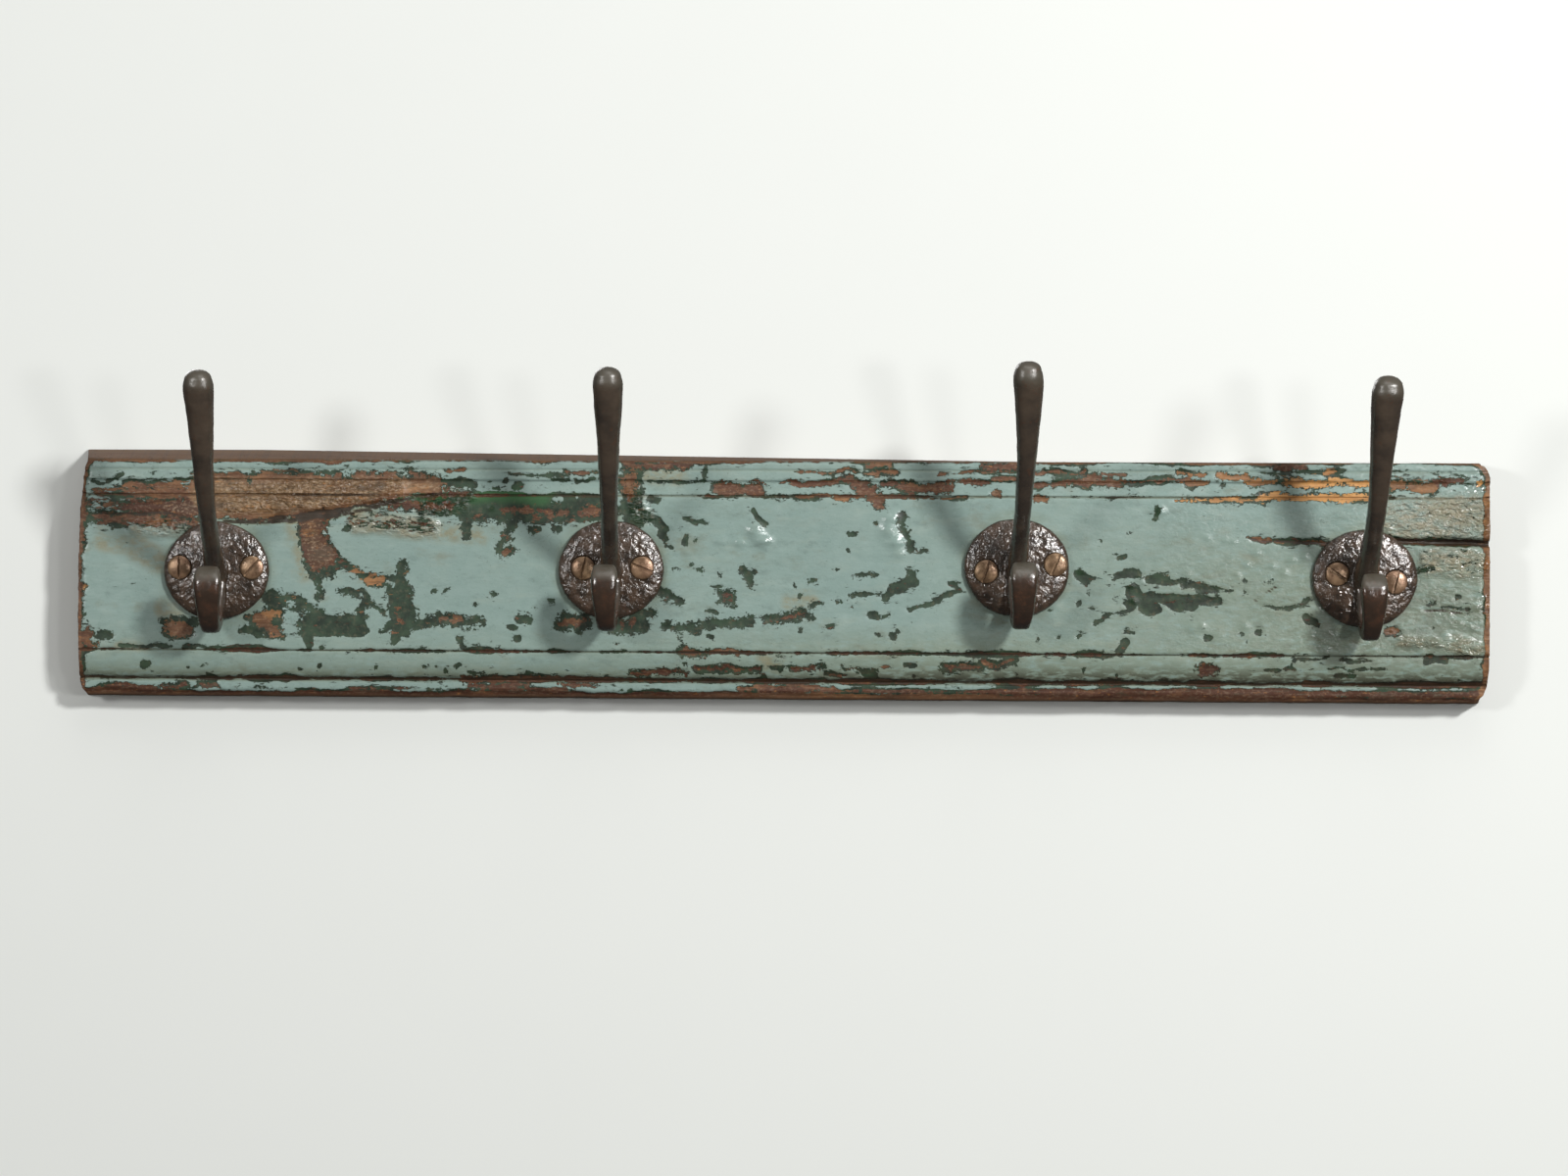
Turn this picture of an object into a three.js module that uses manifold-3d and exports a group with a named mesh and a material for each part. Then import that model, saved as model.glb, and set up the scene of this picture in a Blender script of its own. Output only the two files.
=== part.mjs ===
// Wall hook rack: a moulded plank carrying four cast double hooks, hung on two keyhole plates.
// Millimetres. +X runs along the plank, +Y into the wall, +Z up.
// The origin is the middle of the plank's flat back, on the wall plane.
import * as THREE from 'three';
import { mergeVertices } from 'three/addons/utils/BufferGeometryUtils.js';
import Module from 'manifold-3d';

const wasm = await Module();
wasm.setup();

// ---- driving dimensions -------------------------------------------------------------------
const GAP = 0.3;                      // clearance left between two pieces that touch

const PLANK = {
  length: 617,
  height: 104.7,
  thickness: 22,
  taper: 0.011,                       // how much taller than the middle the right end is, as a fraction
  topRise: 5,                         // how far the sloping top edge climbs towards the wall, left end
  riseEnd: 150,                       // where along the plank that climb has died away
  riseRun: 380,                       // and over what length it does so
  endSkew: 2.2,                       // how far the left end leans in above the middle
  cornerRadius: 5,
  footRadius: 8,                      // bottom left corner
  footChamfer: 10,                    // bottom right corner, worn off at a slant
  stations: 10,                       // steps along the length
};

const PLATE = { width: 44.7, height: 42, rim: 2.4, dome: 4.9 };

// One entry per hook: place on the plank, how stout its upper prong is, sideways lean of the
// lower prong, and its two screws as [x, z, slot angle in degrees] from the middle of the plate.
const HOOKS = [
  { x: -248.4, z: 3.1, stout: 1.04, lean: 0, screws: [[-15.9, 1.5, 88], [15.8, 1.5, 48]] },
  { x: -75.7, z: 4.8, stout: 1, lean: -1.8, screws: [[-12.1, 0.3, 75], [13.7, 0.5, -22]] },
  { x: 101.9, z: 6.5, stout: 1, lean: 1.5, screws: [[-13.6, -2.1, 70], [16.8, 1.1, 65]] },
  { x: 254.4, z: 2.3, stout: 1.08, lean: 0, screws: [[-12.6, 1.7, -35], [12.9, -1.7, 75]] },
];

const HOOK_SCREW = { head: 10.3, shank: 5.0, length: 19, dome: 1.3, seat: 4.3, slotWide: 1.1, slotDeep: 1.5 };
const HANGER_SCREW = { head: 6.8, shank: 3.5, length: 12, dome: 0, seat: 0, slotWide: 0.9, slotDeep: 0.9 };

const HANGER = {
  x: 170,                             // distance of each hanger plate from the middle
  z: 20,
  width: 52,
  height: 22,
  thickness: 2,
  screwSpacing: 36,
  entryRadius: 4.8,
  slotWidth: 5,
  slotRise: 7,                        // entry centre to the top seat of the keyhole
  entryDrop: 3.5,
  reliefDepth: 9.5,
};

const CHECK = { z: 17.1, start: 236, mouth: 1.6, depth: 9 };   // drying split at the right end

// ---- materials ----------------------------------------------------------------------------
const finish = {
  paintedWood: new THREE.MeshStandardMaterial({ color: 0x80a09a, roughness: 0.35, metalness: 0 }),
  iron: new THREE.MeshStandardMaterial({ color: 0x3a2a22, roughness: 0.35, metalness: 0.6 }),
  brass: new THREE.MeshStandardMaterial({ color: 0x9a6a3c, roughness: 0.3, metalness: 0.9 }),
  steel: new THREE.MeshStandardMaterial({ color: 0x9a9a96, roughness: 0.4, metalness: 0.9 }),
};

// ---- solids -------------------------------------------------------------------------------
function signedVolume(position, index) {
  const corner = [new THREE.Vector3(), new THREE.Vector3(), new THREE.Vector3()];
  let volume = 0;
  for (let i = 0; i < index.length; i += 3) {
    corner.forEach((v, k) => v.fromBufferAttribute(position, index[i + k]));
    volume += corner[0].dot(corner[1].clone().cross(corner[2])) / 6;
  }
  return volume;
}

function weld(geometry) {
  const bare = geometry.clone();
  bare.deleteAttribute('normal');
  bare.deleteAttribute('uv');
  return mergeVertices(bare, 1e-4);
}

// A closed geometry as a solid, with its faces turned outwards.
function solid(geometry) {
  const welded = weld(geometry);
  const index = Uint32Array.from(welded.index.array);
  if (signedVolume(welded.attributes.position, index) < 0) {
    for (let i = 0; i < index.length; i += 3) {
      [index[i + 1], index[i + 2]] = [index[i + 2], index[i + 1]];
    }
  }
  const vertProperties = Float32Array.from(welded.attributes.position.array);
  const mesh = new wasm.Mesh({ numProp: 3, vertProperties, triVerts: index });
  mesh.merge();
  return new wasm.Manifold(mesh);
}

function toGeometry(body) {
  const mesh = body.getMesh();
  const geometry = new THREE.BufferGeometry();
  geometry.setAttribute('position', new THREE.BufferAttribute(Float32Array.from(mesh.vertProperties), 3));
  geometry.setIndex(new THREE.BufferAttribute(Uint32Array.from(mesh.triVerts), 1));
  geometry.computeVertexNormals();
  return geometry;
}

function box(width, depth, height, x, y, z) {
  return new THREE.BoxGeometry(width, depth, height).translate(x, y, z);
}

// A turned solid about the Y axis. The profile is a list of [radius, y].
function turned(profile, segments) {
  return new THREE.LatheGeometry(profile.map(([r, y]) => new THREE.Vector2(r, y)), segments);
}

// A flat outline drawn in X and Z, given a thickness along Y from y0 to y1.
function slab(shape, y0, y1, curveSegments = 6) {
  const geometry = new THREE.ExtrudeGeometry(shape, {
    depth: y1 - y0,
    bevelEnabled: false,
    curveSegments,
  });
  geometry.rotateX(Math.PI / 2);
  return geometry.translate(0, y1, 0);
}

// A bar that follows a smooth path in the plane of "out" (away from the plank) and "up".
// Each station is [out, up, width, thickness, sideways]; both ends close in a rounded nose.
function bar(stations, sides, rings) {
  const path = new THREE.CatmullRomCurve3(
    stations.map(([out, up, , , side]) => new THREE.Vector3(side ?? 0, -out, up)),
    false,
    'centripetal',
  );
  const widths = new THREE.SplineCurve(stations.map(([, , width, thick]) => new THREE.Vector2(width, thick)));
  const positions = [];
  const index = [];
  const across = new THREE.Vector3(1, 0, 0);
  for (let i = 0; i <= rings; i += 1) {
    const t = i / rings;
    const centre = path.getPoint(t);
    const tangent = path.getTangent(t);
    const normal = new THREE.Vector3().crossVectors(across, tangent).normalize();
    const size = widths.getPoint(t);
    for (let k = 0; k < sides; k += 1) {
      const angle = (2 * Math.PI * (k + 0.5)) / sides;
      const point = centre.clone()
        .addScaledVector(across, (size.x / 2) * Math.cos(angle))
        .addScaledVector(normal, (size.y / 2) * Math.sin(angle));
      positions.push(point.x, point.y, point.z);
    }
  }
  for (let i = 0; i < rings; i += 1) {
    for (let k = 0; k < sides; k += 1) {
      const a = i * sides + k;
      const b = i * sides + ((k + 1) % sides);
      index.push(a, b, a + sides, b, b + sides, a + sides);
    }
  }
  for (const [ring, t, turn] of [[0, 0, 1], [rings, 1, -1]]) {
    const centre = path.getPoint(t);
    const apex = positions.length / 3;
    positions.push(centre.x, centre.y, centre.z);
    for (let k = 0; k < sides; k += 1) {
      const a = ring * sides + k;
      const b = ring * sides + ((k + 1) % sides);
      index.push(...(turn > 0 ? [apex, b, a] : [apex, a, b]));
    }
  }
  const geometry = new THREE.BufferGeometry();
  geometry.setAttribute('position', new THREE.BufferAttribute(Float32Array.from(positions), 3));
  geometry.setIndex(index);
  return geometry;
}

// ---- plank --------------------------------------------------------------------------------
// The moulded section, in recess from the front face and drop from the top edge.
function plankSection() {
  const { height, thickness, topRise } = PLANK;
  const outline = [
    [thickness, -topRise], [2.2, 0], [1.2, 1.0], [1.2, 3.9], [1.8, 4.1], [1.0, 4.6], [0.6, 8.4],
  ];
  const cove = { from: 8.9, to: 14.9, shallow: 0.4, deep: 1.5 };
  for (let i = 0; i <= 3; i += 1) {
    const t = i / 3;
    const drop = THREE.MathUtils.lerp(cove.from, cove.to, t);
    outline.push([THREE.MathUtils.lerp(cove.deep, cove.shallow, t * t), drop]);
  }
  outline.push([1.3, 15.3], [0.2, 15.9], [0, 17], [0, 83.6], [1.2, 84.1], [0.5, 84.7]);
  const ovolo = { top: 84.7, bottom: 96.4, start: 0.5, fall: 5.3, steps: 6 };
  for (let i = 1; i <= ovolo.steps; i += 1) {
    const angle = (i / ovolo.steps) * (Math.PI / 2) * 0.92;
    const recess = ovolo.start + ovolo.fall * (1 - Math.cos(angle));
    outline.push([recess, ovolo.top + (ovolo.bottom - ovolo.top) * Math.sin(angle)]);
  }
  outline.push([6.6, 97], [5.6, 97.7], [5.6, 101], [6.6, 102.8], [8.6, 104.2]);
  outline.push([11, height], [thickness, height]);
  return outline;
}

function plankOutline() {
  const { length, height, topRise, taper, endSkew, cornerRadius: r, footRadius, footChamfer } = PLANK;
  const left = -length / 2;
  const right = length / 2;
  const leftHalf = (height / 2) * (1 - taper);
  const rightHalf = (height / 2) * (1 + taper);
  const shape = new THREE.Shape();
  shape.moveTo(left + footRadius, -leftHalf - 2);
  shape.lineTo(left + footRadius, -leftHalf);
  shape.quadraticCurveTo(left, -leftHalf, left, -leftHalf + footRadius);
  shape.lineTo(left, 0);
  shape.lineTo(left + endSkew, leftHalf - r);
  shape.lineTo(left + endSkew + 0.5 * r, leftHalf);
  shape.lineTo(left + endSkew + 0.5 * r, leftHalf + topRise + 2);
  shape.lineTo(right - r, rightHalf + 1);
  shape.lineTo(right - r, rightHalf);
  shape.quadraticCurveTo(right, rightHalf, right, rightHalf - r);
  shape.lineTo(right, -rightHalf + footChamfer);
  shape.lineTo(right - 0.3 * footChamfer, -rightHalf + 0.4 * footChamfer);
  shape.lineTo(right - footChamfer, -rightHalf);
  shape.lineTo(right - footChamfer, -rightHalf - 2);
  shape.closePath();
  return shape;
}

// The section drawn along the plank, which grows a little taller to the right while the climb
// of its top edge dies away.
function plankBlank() {
  const { length, height, thickness, taper, riseEnd, riseRun, stations } = PLANK;
  const top = height / 2;
  const outline = plankSection().map(([recess, drop]) => new THREE.Vector2(recess - thickness, top - drop));
  const geometry = new THREE.ExtrudeGeometry(new THREE.Shape(outline), {
    depth: length,
    steps: stations,
    bevelEnabled: false,
  });
  const toRack = new THREE.Matrix4().makeBasis(
    new THREE.Vector3(0, 1, 0),
    new THREE.Vector3(0, 0, 1),
    new THREE.Vector3(1, 0, 0),
  );
  geometry.applyMatrix4(toRack).translate(-length / 2, 0, 0);
  const position = geometry.attributes.position;
  for (let i = 0; i < position.count; i += 1) {
    const x = position.getX(i);
    const fade = THREE.MathUtils.clamp((riseEnd - x) / riseRun, 0, 1);
    const climb = Math.max(position.getZ(i) - top, 0);
    const z = Math.min(position.getZ(i), top) + climb * fade;
    position.setZ(i, z * (1 + (taper * x) / (length / 2)));
  }
  return geometry;
}

function pilotHole(spec, extraDepth) {
  const r = spec.shank / 2 + GAP;
  const end = spec.length + extraDepth;
  return turned([[0, -5], [r, -5], [r, end - 2 * r], [0, end]], 12);
}

function hangerRelief() {
  const { entryRadius, slotRise, entryDrop } = HANGER;
  const r = entryRadius + 1.6;
  const shape = new THREE.Shape();
  shape.absarc(0, -entryDrop, r, Math.PI, 2 * Math.PI, false);
  shape.absarc(0, slotRise - entryDrop, r, 0, Math.PI, false);
  shape.closePath();
  return shape;
}

function plank() {
  const { thickness, length } = PLANK;
  let body = solid(plankBlank()).intersect(solid(slab(plankOutline(), -thickness - 1, 1)));
  for (const hook of HOOKS) {
    for (const [x, z] of hook.screws) {
      const hole = pilotHole(HOOK_SCREW, GAP).translate(hook.x + x, -thickness - HOOK_SCREW.seat, hook.z + z);
      body = body.subtract(solid(hole));
    }
  }
  for (const side of [-1, 1]) {
    const x = side * HANGER.x;
    const depth = HANGER.thickness + 2 * GAP;
    const seat = box(HANGER.width + 2 * GAP, 2 * depth, HANGER.height + 2 * GAP, x, 0, HANGER.z);
    const relief = slab(hangerRelief(), -HANGER.reliefDepth, 0).translate(x, 0, HANGER.z);
    body = body.subtract(solid(seat)).subtract(solid(relief));
    for (const end of [-1, 1]) {
      const hole = pilotHole(HANGER_SCREW, GAP).rotateX(Math.PI);
      hole.translate(x + (end * HANGER.screwSpacing) / 2, -GAP, HANGER.z);
      body = body.subtract(solid(hole));
    }
  }
  const split = new THREE.Shape([
    new THREE.Vector2(CHECK.start, CHECK.z),
    new THREE.Vector2(length / 2 + 1, CHECK.z - CHECK.mouth / 2),
    new THREE.Vector2(length / 2 + 1, CHECK.z + CHECK.mouth / 2),
  ]);
  return body.subtract(solid(slab(split, -thickness - 1, -thickness + CHECK.depth)));
}

// ---- hook castings ------------------------------------------------------------------------
// Seen from the middle of the plate on the face of the plank: "out" is towards the room.
function backPlate() {
  const r = PLATE.width / 2;
  const profile = [
    [0, -GAP], [r - 0.5, -GAP], [r, -0.9], [r, -PLATE.rim], [r - 1, -PLATE.rim - 0.9],
    [0.7 * r, -0.86 * PLATE.dome], [0.4 * r, -0.97 * PLATE.dome], [0, -PLATE.dome],
  ];
  return turned(profile, 32).scale(1, 1, PLATE.height / PLATE.width);
}

function upperProng(stout) {
  const stations = [
    [2.2, -4, 9.6, 9],
    [7.5, 1.5, 9.8, 9.4],
    [20, 10.4, 8.2, 8.2],
    [34.4, 21.8, 7.3, 7.4],
    [47.5, 35.5, 7.9, 7.8],
    [57.9, 50.7, 9.0, 8.8],
    [65.2, 65.5, 11.0, 10.8],
    [69.6, 76, 12.9, 12.7],
    [71.4, 80.4, 11.2, 11.0],
    [72.6, 83.4, 5.6, 5.4],
  ];
  return bar(stations.map(([out, up, width, thick]) => [out, up, width * stout, thick]), 12, 17);
}

function lowerProng(lean) {
  return bar([
    [1.8, 4, 8.4, 8],
    [4.6, -6, 8.6, 7.2],
    [8.2, -15.6, 8.4, 6.6],
    [14.6, -22, 8.1, 6.2, 0.35 * lean],
    [22.4, -23.4, 8.2, 6.4, 0.6 * lean],
    [29.4, -18.6, 9.4, 6.8, 0.8 * lean],
    [33, -11, 11.2, 7.4, lean],
    [34, -4.4, 11.5, 7.4, lean],
    [33.4, -0.6, 8.6, 4.4, lean],
  ], 12, 16);
}

function hookCasting(hook) {
  let body = solid(backPlate()).add(solid(upperProng(hook.stout))).add(solid(lowerProng(hook.lean)));
  const head = HOOK_SCREW.head / 2 + GAP;
  const shank = HOOK_SCREW.shank / 2 + GAP;
  const cone = head - shank;
  for (const [x, z] of hook.screws) {
    const seat = turned([[0, -9], [head, -9], [head, 0], [shank, cone], [shank, 9], [0, 9]], 20);
    body = body.subtract(solid(seat.translate(x, -HOOK_SCREW.seat, z)));
  }
  const behind = box(80, 10, 80, 0, 5 - GAP, 0);
  return body.subtract(solid(behind));
}

// ---- fasteners ----------------------------------------------------------------------------
// A slotted wood screw along Y: the head's rim is at y = 0, the head faces -Y, the point is at +Y.
function woodScrew(spec, slotAngle, segments) {
  const head = spec.head / 2;
  const shank = spec.shank / 2;
  const profile = [[0, -spec.dome]];
  if (spec.dome > 0) {
    profile.push([0.5 * head, -0.8 * spec.dome], [0.85 * head, -0.38 * spec.dome]);
  }
  profile.push([head, 0], [shank, head - shank], [shank, spec.length - 2 * shank], [0, spec.length]);
  const slot = box(spec.head + 2, 2 * spec.slotDeep, spec.slotWide, 0, -spec.dome, 0);
  slot.rotateY(THREE.MathUtils.degToRad(-slotAngle));
  return solid(turned(profile, segments)).subtract(solid(slot));
}

// ---- keyhole hanger plates ----------------------------------------------------------------
function hangerPlate() {
  const { width, height, thickness, screwSpacing, entryRadius, slotWidth, slotRise, entryDrop } = HANGER;
  const r = 3;
  const shape = new THREE.Shape();
  shape.absarc(width / 2 - r, height / 2 - r, r, 0, Math.PI / 2);
  shape.absarc(-width / 2 + r, height / 2 - r, r, Math.PI / 2, Math.PI);
  shape.absarc(-width / 2 + r, -height / 2 + r, r, Math.PI, 1.5 * Math.PI);
  shape.absarc(width / 2 - r, -height / 2 + r, r, 1.5 * Math.PI, 2 * Math.PI);
  const meet = Math.acos(slotWidth / 2 / entryRadius);
  const keyhole = new THREE.Path();
  keyhole.absarc(0, slotRise - entryDrop, slotWidth / 2, 0, Math.PI, false);
  keyhole.absarc(0, -entryDrop, entryRadius, Math.PI - meet, 2 * Math.PI + meet, false);
  keyhole.closePath();
  shape.holes.push(keyhole);
  let body = solid(slab(shape, -thickness, 0));
  const head = HANGER_SCREW.head / 2 + GAP;
  const shank = HANGER_SCREW.shank / 2 + GAP;
  for (const end of [-1, 1]) {
    const seat = turned([[0, 3], [head, 3], [head, 0], [shank, shank - head], [shank, -6], [0, -6]], 16);
    body = body.subtract(solid(seat.translate((end * screwSpacing) / 2, 0, 0)));
  }
  return body;
}

// ---- assembly -----------------------------------------------------------------------------
const rack = new THREE.Group();

function addPiece(parent, name, body, material) {
  const mesh = new THREE.Mesh(toGeometry(body), material);
  mesh.name = name;
  parent.add(mesh);
  return mesh;
}

addPiece(rack, 'plank', plank(), finish.paintedWood);

HOOKS.forEach((hook, i) => {
  const group = new THREE.Group();
  group.position.set(hook.x, -PLANK.thickness, hook.z);
  rack.add(group);
  addPiece(group, `hook_casting_${i + 1}`, hookCasting(hook), finish.iron);
  ['left', 'right'].forEach((side, k) => {
    const [x, z, slotAngle] = hook.screws[k];
    const name = `hook_screw_${i + 1}_${side}`;
    const screw = addPiece(group, name, woodScrew(HOOK_SCREW, slotAngle, 18), finish.brass);
    screw.position.set(x, -HOOK_SCREW.seat, z);
  });
});

['left', 'right'].forEach((side, i) => {
  const group = new THREE.Group();
  group.position.set((i === 0 ? -1 : 1) * HANGER.x, -GAP, HANGER.z);
  rack.add(group);
  addPiece(group, `hanger_plate_${side}`, hangerPlate(), finish.steel);
  ['outer', 'inner'].forEach((end, k) => {
    const away = (i === 0 ? -1 : 1) * (k === 0 ? 1 : -1);
    const name = `hanger_screw_${side}_${end}`;
    const screw = addPiece(group, name, woodScrew(HANGER_SCREW, 20 + 50 * k, 14), finish.steel);
    screw.rotation.x = Math.PI;
    screw.position.set((away * HANGER.screwSpacing) / 2, 0, 0);
  });
});

export default rack;
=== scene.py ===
"""Wall hook rack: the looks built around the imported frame.

Shapes are laid out in millimetres in the rack's own frame: +X along the plank, -Y out into the
room, +Z up, with the origin in the middle of the plank's back. They become metres in one place,
when a mesh is made.
"""
import itertools
import math

import bpy
import numpy as np
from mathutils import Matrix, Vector


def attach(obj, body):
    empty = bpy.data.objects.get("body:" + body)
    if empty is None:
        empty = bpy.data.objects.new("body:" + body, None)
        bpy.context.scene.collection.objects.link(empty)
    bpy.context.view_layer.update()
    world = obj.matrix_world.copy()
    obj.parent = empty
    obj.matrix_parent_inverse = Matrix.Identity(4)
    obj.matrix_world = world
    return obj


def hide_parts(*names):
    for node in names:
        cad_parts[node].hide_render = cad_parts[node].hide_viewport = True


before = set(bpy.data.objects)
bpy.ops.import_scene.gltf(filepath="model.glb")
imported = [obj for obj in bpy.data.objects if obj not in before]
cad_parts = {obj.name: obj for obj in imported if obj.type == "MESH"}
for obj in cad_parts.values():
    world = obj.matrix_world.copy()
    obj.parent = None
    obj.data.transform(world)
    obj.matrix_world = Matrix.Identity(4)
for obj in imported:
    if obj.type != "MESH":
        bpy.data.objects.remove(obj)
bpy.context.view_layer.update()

MM = 0.001
ROLL = math.radians(0.27)       # the rack hangs this much out of level

PLANK_LENGTH = 617.0
PLANK_HEIGHT = 104.7
PLANK_THICKNESS = 22.0
END_LEFT = -309.1               # the ends of the rough plank, before anything is worn off
END_RIGHT = 309.2
PLANK_TAPER = 0.011             # how much taller than the middle the right end is, as a fraction
RISE_END = 150.0                # the climb of the top edge has died away here
RISE_RUN = 380.0                # and it takes this long to do so

# Lines of the moulding, as drops below the front of the top edge.
BEAD_QUIRK = 4.1
FIELD_QUIRK = 15.4              # between the upper moulding and the flat field
TORUS_QUIRK = 84.05             # between the field and the torus
STEP = 97.0                     # from the torus back to the bottom fillet

PLATE_WIDTH = 46.0
PLATE_HEIGHT = 43.0

# Place of each hook, how stout and how tall its upper prong is, that prong's sideways drift 60 mm up
# and at its tip, lean of its lower prong, and its two screws as (x, z, slot angle in degrees) from
# the middle of the plate.
HOOKS = [
    (-248.2, 3.1, 1.04, 1.000, (0.6, 0.2), 0.0, ((-16.1, 1.5, 88), (15.6, 1.5, 48))),
    (-75.7, 4.6, 1.00, 1.008, (0.9, 0.8), -1.8, ((-12.1, 0.5, 75), (13.7, 0.7, -22))),
    (101.9, 6.2, 1.00, 1.030, (1.6, 0.8), 1.5, ((-13.6, -1.8, 70), (16.8, 1.4, 65))),
    (254.1, 2.1, 1.08, 1.008, (-0.1, 0.9), 0.0, ((-12.3, 1.9, -35), (13.2, -1.5, 75))),
]
SEAT = 4.3                      # how far the screw heads' rims stand off the face of the plank

# Screws: diameters of head and shank, length, dome of the head, width and depth of the slot.
HOOK_SCREW = (10.3, 5.0, 19, 1.3, 1.15, 1.4)
HANGER_SCREW = (6.8, 3.5, 12, 0.02, 0.9, 0.9)
PILOT_STRAIGHT = 9.3            # a hook screw's pilot hole tapers from here
PILOT_DEPTH = 14.9

GAP = 0.3                       # clearance between two pieces that touch
HANGER_X = 170.0
HANGER_Z = 20.0
HANGER_WIDTH = 52.0
HANGER_HEIGHT = 22.0
HANGER_THICKNESS = 2.0
HANGER_CORNER = 3.0
HANGER_SCREW_X = 18.0           # from the middle of a hanger plate to each of its screws
KEYHOLE_ENTRY = 4.8             # radius that a wall screw's head goes through
KEYHOLE_SLOT = 2.5              # half width of the slot
KEYHOLE_RISE = 3.5              # of the slot's end, and the drop of the entry, from the middle


# ---- small tools --------------------------------------------------------------------------
def lattice(ix, iy, iz, seed):
    h = (ix * 374761393 + iy * 668265263 + iz * 1440670441 + seed * 974634777) & 0xFFFFFFFF
    h = ((h ^ (h >> 13)) * 1274126177) & 0xFFFFFFFF
    h = ((h ^ (h >> 15)) * 2246822519) & 0xFFFFFFFF
    return ((h ^ (h >> 16)) & 0xFFFF) / 32767.5 - 1.0


def noise(points, size, seed):
    """Smooth noise between -1 and 1. size is the grain in mm, one number or one per axis."""
    q = np.asarray(points, float) / np.asarray(size, float)
    base = np.floor(q).astype(np.int64)
    part = q - base
    ease = part * part * part * (part * (part * 6 - 15) + 10)
    total = np.zeros(len(q))
    for corner in itertools.product((0, 1), repeat=3):
        weight = np.ones(len(q))
        for axis in range(3):
            weight = weight * (ease[:, axis] if corner[axis] else 1 - ease[:, axis])
        cell = base + np.array(corner)
        total += weight * lattice(cell[:, 0], cell[:, 1], cell[:, 2], seed)
    return total


def smoothstep(value, low, high):
    t = np.clip((value - low) / (high - low), 0, 1)
    return t * t * (3 - 2 * t)


def hermite(stations, step):
    """Points every step mm or so along a smooth curve through the stations."""
    knots = np.asarray(stations, float)
    chord = np.sqrt(np.linalg.norm(np.diff(knots[:, :2], axis=0), axis=1))
    t = np.concatenate([[0], np.cumsum(chord)])
    slope = np.empty_like(knots)
    slope[1:-1] = (knots[2:] - knots[:-2]) / (t[2:] - t[:-2])[:, None]
    slope[0] = (knots[1] - knots[0]) / (t[1] - t[0])
    slope[-1] = (knots[-1] - knots[-2]) / (t[-1] - t[-2])
    out = []
    for i in range(len(knots) - 1):
        length = np.linalg.norm(knots[i + 1, :2] - knots[i, :2])
        count = max(1, int(round(length / step)))
        s = np.arange(count)[:, None] / count
        span = t[i + 1] - t[i]
        out.append(
            (2 * s**3 - 3 * s**2 + 1) * knots[i]
            + (s**3 - 2 * s**2 + s) * span * slope[i]
            + (3 * s**2 - 2 * s**3) * knots[i + 1]
            + (s**3 - s**2) * span * slope[i + 1]
        )
    return np.vstack(out + [knots[-1:]])


def make_object(name, points, faces):
    mesh = bpy.data.meshes.new(name)
    mesh.from_pydata((np.asarray(points) * MM).tolist(), [], faces)
    mesh.update()
    obj = bpy.data.objects.new(name, mesh)
    bpy.context.scene.collection.objects.link(obj)
    return obj


def rings_mesh(name, rings):
    """A closed body from a list of rings of equal length, its two ends closed to their middles."""
    rings = np.asarray(rings)
    count, sides = rings.shape[:2]
    points = np.vstack([rings.reshape(-1, 3), rings[0].mean(0)[None], rings[-1].mean(0)[None]])
    faces = []
    for i in range(count - 1):
        for k in range(sides):
            a = i * sides + k
            b = i * sides + (k + 1) % sides
            faces.append((a, b, b + sides, a + sides))
    first, last = count * sides, count * sides + 1
    for k in range(sides):
        faces.append((first, (k + 1) % sides, k))
        faces.append((last, (count - 1) * sides + k, (count - 1) * sides + (k + 1) % sides))
    return make_object(name, points, faces)


def turned(name, profile, sides, centre=(0, 0, 0), squash=1.0):
    """A lathe body about the Y axis from (radius, y) pairs."""
    angle = np.arange(sides) * 2 * math.pi / sides
    rings = []
    for radius, y in profile:
        radius = max(radius, 1e-4)
        ring = np.stack(
            [radius * np.cos(angle), np.full(sides, y), radius * squash * np.sin(angle)], axis=1
        )
        rings.append(ring + np.array(centre))
    return rings_mesh(name, rings)


def outward(obj):
    """Turns a closed mesh's faces outwards."""
    mesh = obj.data
    mesh.calc_loop_triangles()
    count = len(mesh.vertices)
    co = np.empty(count * 3)
    mesh.vertices.foreach_get("co", co)
    co = co.reshape(-1, 3)
    tri = np.empty(len(mesh.loop_triangles) * 3, np.int64)
    mesh.loop_triangles.foreach_get("vertices", tri)
    a, b, c = (co[tri.reshape(-1, 3)[:, k]] for k in range(3))
    if np.einsum("ij,ij->i", a, np.cross(b, c)).sum() < 0:
        mesh.flip_normals()
    return obj


def apply_modifiers(obj):
    graph = bpy.context.evaluated_depsgraph_get()
    mesh = bpy.data.meshes.new_from_object(obj.evaluated_get(graph))
    old = obj.data
    obj.modifiers.clear()
    obj.data = mesh
    bpy.data.meshes.remove(old)


def boolean(obj, cutters, operation="DIFFERENCE"):
    """Cuts (or joins) the cutters into obj and removes them."""
    for cutter in cutters:
        outward(cutter)
        modifier = obj.modifiers.new("cut", "BOOLEAN")
        modifier.operation = operation
        modifier.object = cutter
        modifier.solver = "MANIFOLD"
    apply_modifiers(obj)
    for cutter in cutters:
        bpy.data.objects.remove(cutter)
    return obj


def read_points(obj):
    co = np.empty(len(obj.data.vertices) * 3)
    obj.data.vertices.foreach_get("co", co)
    return co.reshape(-1, 3) / MM


def write_points(obj, points):
    obj.data.vertices.foreach_set("co", (np.asarray(points) * MM).ravel())
    obj.data.update()


def read_normals(obj):
    normal = np.empty(len(obj.data.vertices) * 3)
    obj.data.vertex_normals.foreach_get("vector", normal)
    return normal.reshape(-1, 3)


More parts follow.
